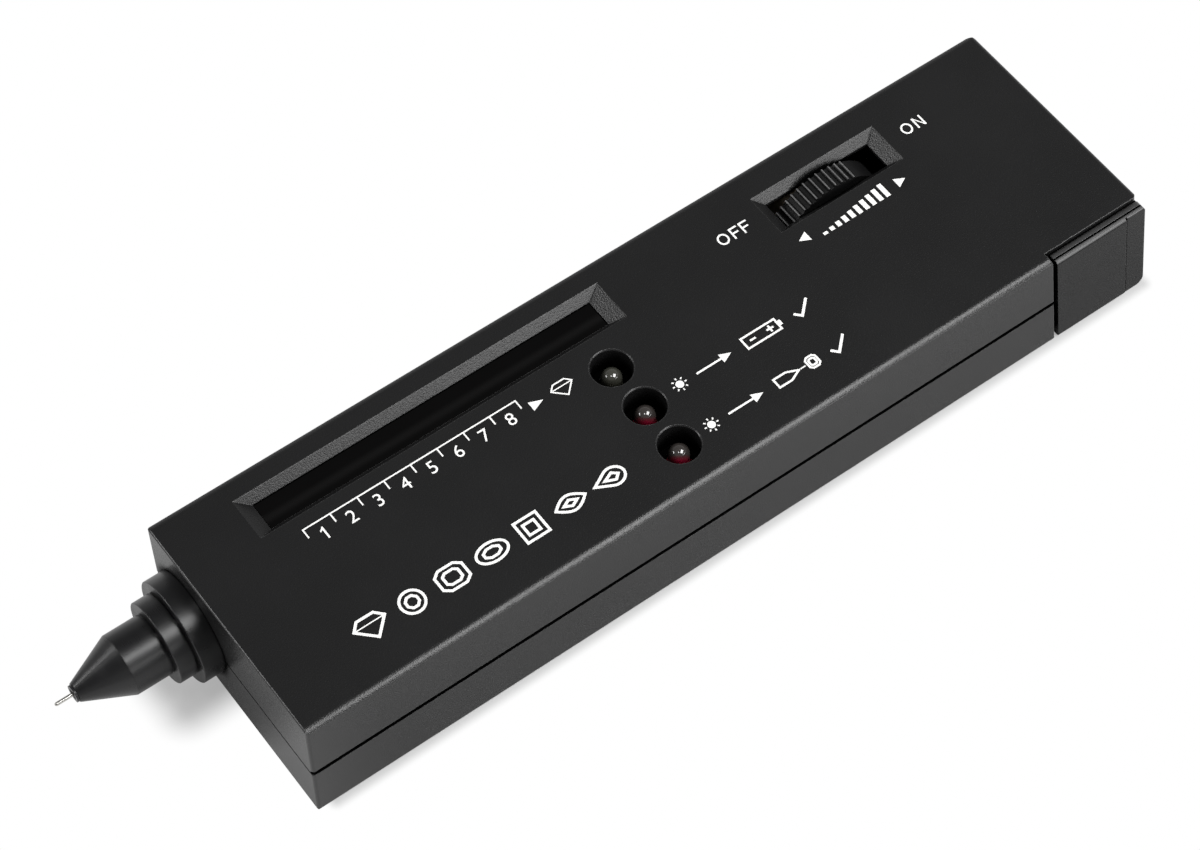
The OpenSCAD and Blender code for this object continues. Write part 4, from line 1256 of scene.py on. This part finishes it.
@dataclass
class Cover(Assembly):
    """The battery cover with its foam pad."""

    dressing: Dressing = (
        # Edges and faces that lean half up carry a painted highlight, edges partly real wearing too; deep
        # gaps get a painted shade
        (Plastic(
            "black_cover_plastic", (0.006, 0.006, 0.0062), roughness=0.27, grain=0.26 * MM, depth=0.008 * MM,
            edge=0.14 * MM, wear_and_highlight_share=0.8, wear_and_highlight_lift=0.135, slope_highlight=0.8, shine=0.15, gap=1.2 * MM,
        ), "battery_cover"),
    )
    foam: Finish = Foam("grey_foam", (0.10, 0.105, 0.115))
    lean: float = 3.5 / 22.7
    crown: float = 0.3 * MM
    crown_share: float = 0.175
    rim_share: float = 2.2
    rim_power: int = 14
    cells: tuple[int, int] = (24, 18)

    def build(self) -> None:
        """Makes the pad: flat on the cover's wall, crowned and round-edged towards the battery."""
        low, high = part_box("cover_pad")
        thick = high.x - low.x - self.lean * (high.z - low.z)
        bm = bmesh.new()
        backs, fronts = [], []
        across, up = self.cells
        for j in range(up + 1):
            z = low.z + (high.z - low.z) * j / up
            back = high.x - self.lean * (z - low.z)
            ys = [low.y + (high.y - low.y) * i / across for i in range(across + 1)]
            dips = [self.dip(2 * i / across - 1, 2 * j / up - 1) for i in range(across + 1)]
            backs.append([bm.verts.new((back, y, z)) for y in ys])
            fronts.append([bm.verts.new((back - thick + dip, y, z)) for y, dip in zip(ys, dips)])
        for rows in (backs, fronts):
            for a, b in zip(rows, rows[1:]):
                for i in range(across):
                    bm.faces.new((a[i], a[i + 1], b[i + 1], b[i]))
        rim = [(0, i) for i in range(across)] + [(j, across) for j in range(up)]
        rim += [(up, across - i) for i in range(across)] + [(up - j, 0) for j in range(up)]
        for (j, i), (n, m) in zip(rim, rim[1:] + rim[:1]):
            bm.faces.new((backs[j][i], backs[n][m], fronts[n][m], fronts[j][i]))
        piece = add_piece("foam_pad", to_mesh("foam_pad", bm, True), self.foam.make(), Body.COVER)
        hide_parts("cover_pad")

    def dip(self, u: float, v: float) -> float:
        """How far the pad's face falls back at shares of its half width and half height."""
        rim = max(abs(u), abs(v)) ** self.rim_power
        return self.crown * (self.crown_share * (u * u + v * v) + self.rim_share * rim)


@dataclass
class Probe(Assembly):
    """The stepped probe with its needle, and what is inside it. The leads' route is in millimetres."""

    dressing: Dressing = (
        (
            Turned("black_probe_plastic", (0.006, 0.006, 0.0065), Axis.X, roughness=0.3, edge=0.1 * MM),
            "probe_collar", "probe_ring", "probe_barrel", "nose_cone",
        ),
        (Turned("black_bush_plastic", (0.012, 0.012, 0.013), Axis.X, roughness=0.3, shine=0.4), "tip_bush"),
        (
            Turned("needle_steel", (0.62, 0.61, 0.58), Axis.X, roughness=0.2, pitch=0.05 * MM, metal=1.0),
            "needle",
        ),
        (Turned("turned_brass", (0.62, 0.42, 0.16), Axis.X, roughness=0.28, metal=1.0), "needle_carrier"),
        (Plastic("heater_ceramic", (0.64, 0.60, 0.50), roughness=0.55, depth=0.02 * MM), "heater"),
        (Sheet("spring_steel", (0.48, 0.49, 0.50), Axis.X), "probe_spring"),
        (Plastic("brown_plug_plastic", (0.045, 0.036, 0.028), roughness=0.45), "probe_plug"),
    )
    insulation: Finish = Plastic("white_lead_insulation", (0.68, 0.68, 0.66), roughness=0.38, wear_and_highlight_share=0.1)
    lead_r: float = 0.4 * MM
    route: tuple[Place, ...] = (
        (-67.9, 10.3, 10.4), (-66.9, 10.3, 10.4), (-64.1, 8.3, 10.825),
        (-61.3, 6.3, 10.1), (-60.3, 6.3, 10.05),
    )
    apart: tuple[float, ...] = (1.2, 1.2, 2.0, 1.2, 1.2)
    up: Place = (0.0, 0.2, 1.0)

    def build(self) -> None:
        """Makes the two leads from the plug to the board."""
        name = "probe_lead_pair"
        bm = bmesh.new()
        for side in (-1, 1):
            points = [(x, y + side * out, z) for (x, y, z), out in zip(self.route, self.apart)]
            add_tube(bm, points, self.lead_r, self.up)
        piece = add_piece(name, to_mesh(name, bm, True), self.insulation.make(), Body.CASE)
        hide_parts("probe_leads")


@dataclass
class Thumbwheel(Assembly):
    """The thumbwheel with its shaft, and the potentiometer that it turns."""

    dressing: Dressing = (
        # Crests carry a painted highlight; deep gaps a painted shade
        (Ridged(
            "black_wheel_plastic", (0.005, 0.005, 0.0052), crest_highlight=(0.13, 0.13, 0.13),
            axis=(39.1 * MM, 0.0, 12.95 * MM), low=9.84 * MM, high=9.97 * MM,
        ), "thumbwheel"),
        (Turned("ground_steel", (0.56, 0.56, 0.55), Axis.Y, roughness=0.25, metal=1.0), "wheel_shaft"),
        (Turned("wheel_screw_steel", ZINC, Axis.Y, roughness=0.35, metal=1.0), "wheel_screw"),
        (Sheet("potentiometer_case", (0.52, 0.44, 0.32), Axis.Y, roughness=0.35), "potentiometer"),
        (Plastic("switch_phenolic", (0.07, 0.065, 0.055), roughness=0.5), "power_switch"),
    )


@dataclass
class Lamps(Assembly):
    """The three round lamps: an epoxy body with its lead frame inside. Sizes are in millimetres."""

    # The second colour of each lamp is painted light: a crimson glowing side in the red lamps, a darker
    # painted shade in the clear one
    clear: Finish = Epoxy("clear_lamp_epoxy", (0.055, 0.055, 0.045), (0.032, 0.032, 0.024))
    red: Finish = Epoxy("red_lamp_epoxy", (0.045, 0.039, 0.036), (0.26, 0.003, 0.026))
    tinned: Finish = Sheet("lamp_lead_frame", (0.62, 0.62, 0.60), Axis.Z)
    x: float = -6.5
    first_y: float = 3.205
    pitch: float = 8.0
    foot: float = 16.4
    radius: float = 1.6
    flange_r: float = 2.0
    flange_t: float = 1.0
    height: float = 5.3
    ease: float = 0.08
    core: float = 0.02
    dome_steps: int = 16
    board_top: float = 9.6
    pin: float = 0.45
    pin_y: float = 1.27
    post_y: float = 0.55
    post_bends: tuple[float, float, float] = (-0.3, 0.4, 1.1)
    post_tops: Point = (2.6, 2.1)
    cup_y: float = -0.5
    cup: tuple[Point, ...] = ((0.1, 2.65), (0.3, 2.65), (0.52, 3.0), (0.44, 3.0), (0.24, 2.75), (0.1, 2.75))
    cup_sides: int = 20

    def build(self) -> None:
        """Makes the lamps."""
        clear, red, tinned = self.clear.make(), self.red.make(), self.tinned.make()
        lamps = (
            ("signal_lamp", clear, "clear_lamp"),
            ("battery_lamp", red, "red_lamp"),
            ("ready_lamp", red, "red_lamp"),
        )
        for k, (name, epoxy, slot) in enumerate(lamps):
            y = self.first_y - k * self.pitch
            lens = add_piece(f"{name}_lens", self.lens(f"{name}_lens", y), epoxy, Body.CASE)
            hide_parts(name)
            add_piece(f"{name}_frame", self.frame(f"{name}_frame", y), tinned, Body.CASE)

    def lens(self, name: str, y: float) -> bpy.types.Mesh:
        """Makes the epoxy body with its flange and dome.

        Args:
            name: The mesh's name.
            y: The lamp's place along the row.

        Returns:
            The mesh.
        """
        foot, flange = self.foot, self.foot + self.flange_t
        shoulder = foot + self.height - self.radius
        outline = [
            (self.core, foot), (self.flange_r - self.ease, foot), (self.flange_r, foot + self.ease),
            (self.flange_r, flange - self.ease), (self.flange_r - self.ease, flange),
            (self.radius, flange), (self.radius, shoulder),
        ]
        for k in range(1, self.dome_steps):
            a = math.pi / 2 * k / self.dome_steps
            outline.append((self.radius * math.cos(a), shoulder + self.radius * math.sin(a)))
        outline.append((self.core, foot + self.height))
        bm = bmesh.new()
        add_turned(bm, (self.x * MM, y * MM), [(r * MM, z * MM) for r, z in outline])
        return to_mesh(name, bm, True)

    def frame(self, name: str, y: float) -> bpy.types.Mesh:
        """Makes the two posts and the small cup in the lamp.

        Args:
            name: The mesh's name.
            y: The lamp's place along the row.

        Returns:
            The mesh.
        """
        bm = bmesh.new()
        corners = [(a * self.pin / 2, b * self.pin / 2) for a, b in CORNERS]
        below, root, neck = (self.foot + bend for bend in self.post_bends)
        for side, top in zip((-1, 1), self.post_tops):
            pin_y, post_y = y + side * self.pin_y, y + side * self.post_y
            bends = (
                (self.board_top, pin_y), (below, pin_y), (root, pin_y),
                (neck, post_y), (self.foot + top, post_y),
            )
            add_rings(bm, [
                [Vector((self.x + a, middle + b, z)) * MM for a, b in corners] for z, middle in bends
            ])
        cup = [(r * MM, (self.foot + z) * MM) for r, z in self.cup]
        add_turned(bm, (self.x * MM, (y + self.cup_y) * MM), cup, self.cup_sides)
        return to_mesh(name, bm, False)


@dataclass
class Display(Assembly):
    """The smoked window and the lights behind it."""

    dressing: Dressing = (
        (Window(
            # The second colour is the painted sheen along the strip
            "smoked_window", (0.0018, 0.0017, 0.0017), line=(0.0052, 0.005, 0.005),
            sheen_y=12.15 * MM, sheen_w=1.1 * MM,
        ), "display_window"),
        (Plastic("green_bar_light", (0.05, 0.22, 0.045), roughness=0.3, coat=0.3), "green_bars"),
        (Plastic("amber_bar_light", (0.50, 0.25, 0.03), roughness=0.3, coat=0.3), "amber_bars"),
        (Plastic("red_bar_light", (0.30, 0.02, 0.02), roughness=0.3, coat=0.3), "red_bars"),
        (Plastic("black_holder_plastic", (0.012, 0.012, 0.012), roughness=0.6), "bar_holder"),
        (Plastic("white_spacer_plastic", (0.70, 0.69, 0.64), roughness=0.45), "lamp_spacers"),
    )


@dataclass
class Board(Assembly):
    """The circuit board with what stands on it."""

    dressing: Dressing = (
        (Laminate("green_board_laminate", (0.025, 0.13, 0.045), (0.09, 0.26, 0.10)), "main_board"),
        (
            Plastic("chip_epoxy", (0.022, 0.022, 0.023), roughness=0.55, depth=0.02 * MM),
            "driver_chip", "amplifier_chips", "transistors",
        ),
        (Plastic("blue_trimmer_plastic", (0.03, 0.09, 0.34), roughness=0.4), "trimmers"),
        (Plastic("sounder_can", (0.013, 0.013, 0.014), roughness=0.5), "buzzer"),
    )
    lead: Colour = (0.55, 0.55, 0.53)
    tan: Colour = (0.52, 0.36, 0.18)
    rings: tuple[tuple[float, float, Colour], ...] = (
        (0.24, 0.32, (0.10, 0.035, 0.015)), (0.40, 0.48, (0.02, 0.02, 0.02)),
        (0.56, 0.64, (0.42, 0.03, 0.02)), (0.74, 0.82, (0.48, 0.30, 0.06)),
    )
    body: Point = (0.12, 0.88)
    sleeve: Colour = (0.02, 0.035, 0.10)
    pole: Colour = (0.45, 0.46, 0.48)
    pole_w: float = 0.14

    def dress(self) -> None:
        """Gives the board's parts their finishes, those with stripes too."""
        super().dress()
        bands = [(0.0, self.lead), (self.body[0], self.tan)]
        for start, end, colour in self.rings:
            bands += [(start, colour), (end, self.tan)]
        bands.append((self.body[1], self.lead))
        stripes = (
            ("resistors", "banded_resistor", bands, 0.45),
            ("capacitors", "capacitor_sleeve", [(0.0, self.pole), (self.pole_w, self.sleeve)], 0.32),
        )
        for node, name, stops, roughness in stripes:
            low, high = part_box(node)
            dress(Striped(name, Axis.Y, low.y, high.y, hard_stops(stops), roughness).make(), node)


@dataclass
class BatteryPack(Assembly):
    """The battery with its terminals, snap connector and two leads. The leads' route is in millimetres."""

    dressing: Dressing = (
        (Sheet("tinned_terminal", (0.70, 0.71, 0.72), Axis.Y), "battery_terminals"),
        (Plastic("black_connector_vinyl", (0.014, 0.014, 0.015), roughness=0.48), "snap_connector"),
    )
    red: Finish = Plastic("red_lead_insulation", (0.46, 0.03, 0.025), roughness=0.36, wear_and_highlight_share=0.1)
    black: Finish = Plastic("black_lead_insulation", (0.012, 0.012, 0.012), roughness=0.36, wear_and_highlight_share=0.1)
    rim: Colour = (0.6, 0.6, 0.6)
    gold: Colour = (0.50, 0.29, 0.09)
    dark: Colour = (0.018, 0.018, 0.02)
    lead_r: float = 0.65 * MM
    lead_y: float = 1.5
    route: tuple[Place, ...] = (
        (20.621, -0.15, 13.7), (18.621, -0.15, 13.7), (17.021, 2.05, 16.7),
        (13.021, 4.25, 16.1), (12.021, 4.25, 12.7), (11.821, 4.25, 9.708),
    )
    up: Place = (1.0, 0.3, 0.4)

    def dress(self) -> None:
        """Gives the battery's pieces their finishes, its striped jacket too."""
        super().dress()
        low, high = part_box("battery")
        stops = hard_stops(
            ((0.0, self.rim), (0.02, self.gold), (0.30, self.rim), (0.315, self.dark), (0.98, self.rim))
        )
        jacket = Striped("battery_jacket", Axis.X, low.x, high.x, stops, roughness=0.34, metal=0.7)
        dress(jacket.make(), "battery")

    def build(self) -> None:
        """Makes the two leads from the connector to the board."""
        for slot, side, finish in (("red_lead", 1, self.red), ("black_lead", -1, self.black)):
            name = f"{slot}_tube"
            bm = bmesh.new()
            points = [(x, y + side * self.lead_y, z) for x, y, z in self.route]
            length = add_tube(bm, points, self.lead_r, self.up)
            piece = add_piece(name, to_mesh(name, bm, True), finish.make(), Body.CASE)
            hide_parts(slot)
            LOG.info("%s is %.1f mm long", slot, length / MM)


# Studio


@dataclass(frozen=True)
class Softbox:
    """A flat lamp that faces the object, its height upright."""

    name: str
    toward: Place
    width: float
    height: float
    radiance: float
    distance: float = 0.8

    def place(self, centre: Vector) -> None:
        """Puts the lamp in the scene.

        Args:
            centre: The point that it faces.
        """
        data = bpy.data.lights.new(self.name, "AREA")
        data.shape, data.size, data.size_y = "RECTANGLE", self.width, self.height
        data.energy = self.radiance * math.pi * self.width * self.height
        lamp = bpy.data.objects.new(self.name, data)
        bpy.context.scene.collection.objects.link(lamp)
        way = Vector(self.toward).normalized()
        lamp.location = centre + way * self.distance
        lamp.rotation_euler = way.to_track_quat("Z", "Y").to_euler()
        lamp.visible_camera = False


@dataclass(frozen=True)
class Shade:
    """Where the floor shows its real light instead of plain white: a rectangle and a soft rim round it."""

    centre: Place
    half: Place
    depth: float
    reach: float

    def share(self, g: Graph) -> Value:
        """The share of real light at a point of the floor.

        Args:
            g: The floor's graph.

        Returns:
            The share.
        """
        away = g.vector("ABSOLUTE", g.vector("SUBTRACT", g.here(), self.centre))
        outside = g.vector("MAXIMUM", g.vector("SUBTRACT", away, self.half), (0.0, 0.0, 0.0))
        return self.depth * (1 - g.vector("LENGTH", outside, out="Value").ramp(0.0, self.reach))


@dataclass
class Studio:
    """The floor, the lamps, the world and the camera."""

    floor_r: float = 3.0
    paper: tuple[Colour, Colour] = ((0.40, 0.40, 0.40), (0.43, 0.43, 0.43))
    speck: float = 4 * MM
    shades: tuple[Shade, ...] = (
        Shade((0.003, 0.0, 0.0), (0.074, 0.02, 1.0), 0.65, 0.002),
        Shade((-0.0765, 0.0095, 0.0), (0.0035, 0.005, 1.0), 0.62, 0.0065),
    )
    mirrored: tuple[Shade, ...] = (
        Shade((0.011, 0.0, 0.0), (0.066, 0.02, 1.0), 1.0, 0.03),
        Shade((-0.0765, 0.0075, 0.0), (0.0035, 0.009, 1.0), 0.8, 0.012),
    )
    mirrored_white: float = 0.62
    walls: Colour = (0.45, 0.45, 0.45)
    ceiling: Colour = (0.15, 0.15, 0.15)
    ceiling_rise: Point = (0.3, 0.65)
    eye: Place = (-0.1643666, -0.2111096, 0.4190556)
    turn: Place = (32.9087, 0.1677, -36.2678)
    lens: float = 100.59
    sensor: float = 36.0
    clip: Point = (0.01, 20.0)
    aim: Place = (0.0, 0.0, 0.01)
    softboxes: tuple[Softbox, ...] = (
        Softbox("left_softbox", (-0.755, 0.472, 0.454), 0.3, 0.28, 9.0),
        Softbox("right_softbox", (0.43, -0.79, 0.43), 0.5, 0.26, 7.0),
        Softbox("top_softbox", (0.33, -0.32, 0.89), 0.5, 0.33, 11.0),
        Softbox("front_softbox", (-0.2, -0.15, 0.97), 0.14, 0.14, 9.0),
    )

    def build(self) -> None:
        """Sets up the whole studio."""
        bpy.context.scene.view_settings.view_transform = "Standard"
        for softbox in self.softboxes:
            softbox.place(Vector(self.aim))
        self.world()
        self.floor()
        self.camera()

    def white_share(self, g: Graph) -> Value:
        """How much of the floor is plain white to the camera, and to gloss and glass.

        Args:
            g: The floor's graph.

        Returns:
            The share.
        """
        camera, gloss, glass = (
            g.add("ShaderNodeLightPath", {}, {}, out=f"Is {ray} Ray")
            for ray in ("Camera", "Glossy", "Transmission")
        )
        seen, mirrored = (1 - self.darkest(g, shades) for shades in (self.shades, self.mirrored))
        return camera * seen + (gloss + glass).ramp(0.0, 1.0) * mirrored * self.mirrored_white

    def darkest(self, g: Graph, shades: Iterable[Shade]) -> Value:
        """The largest of some shades.

        Args:
            g: The floor's graph.
            shades: The shades.

        Returns:
            The share of real light.
        """
        most, *others = [shade.share(g) for shade in shades]
        for other in others:
            most = g.math("MAXIMUM", most, other)
        return most

    def world(self) -> None:
        """Makes a dim room, darker towards its ceiling."""
        world = bpy.data.worlds.new("studio")
        bpy.context.scene.world = world
        world.use_nodes = True
        g = Graph(world.node_tree)
        way = g.add("ShaderNodeTexCoord", {}, {}, out="Generated")
        height = g.add("ShaderNodeSeparateXYZ", {}, {0: way}, out=Axis.Z.value)
        colour = g.mix(height.ramp(*self.ceiling_rise), self.walls, self.ceiling)
        light = g.add("ShaderNodeBackground", {}, {"Color": colour, "Strength": 1.0})
        g.add("ShaderNodeOutputWorld", {}, {"Surface": light})

    def floor(self) -> None:
        """Makes a white floor that keeps the object's soft shadow."""
        bm = bmesh.new()
        bmesh.ops.create_circle(bm, cap_ends=True, segments=96, radius=self.floor_r)
        floor = bpy.data.objects.new("floor", to_mesh("floor", bm, False))
        bpy.context.scene.collection.objects.link(floor)
        material, g = new_graph("white_floor")
        paper = g.add("ShaderNodeBsdfPrincipled", {}, {
            "Base Color": g.mix(g.noise(self.speck, 3.0), *self.paper),
            "Roughness": 0.9,
            "Specular IOR Level": 0.2,
        })
        white = g.add("ShaderNodeEmission", {}, {"Color": (1.0, 1.0, 1.0, 1.0), "Strength": 1.0})
        mixed = g.add("ShaderNodeMixShader", {}, {0: self.white_share(g), 1: paper, 2: white})
        g.add("ShaderNodeOutputMaterial", {}, {"Surface": mixed})
        floor.data.materials.append(material)

    def camera(self) -> None:
        """Puts the camera at the photograph's place."""
        data = bpy.data.cameras.new("camera")
        data.lens, data.sensor_width, data.sensor_fit = self.lens, self.sensor, "HORIZONTAL"
        data.clip_start, data.clip_end = self.clip
        camera = bpy.data.objects.new("camera", data)
        bpy.context.scene.collection.objects.link(camera)
        camera.location = self.eye
        camera.rotation_euler = Euler([math.radians(a) for a in self.turn], "XYZ")
        bpy.context.scene.camera = camera


def main() -> None:
    """Builds and dresses the sub-assemblies in order."""
    logging.basicConfig(level=logging.INFO, format="%(name)s: %(message)s", stream=sys.stdout)
    Studio().build()
    parts = (Case(), Cover(), Probe(), Thumbwheel(), Lamps(), Display(), Board(), BatteryPack(), Marks())
    for part in parts:
        part.dress()
        part.build()


if __name__ == "__main__":
    main()
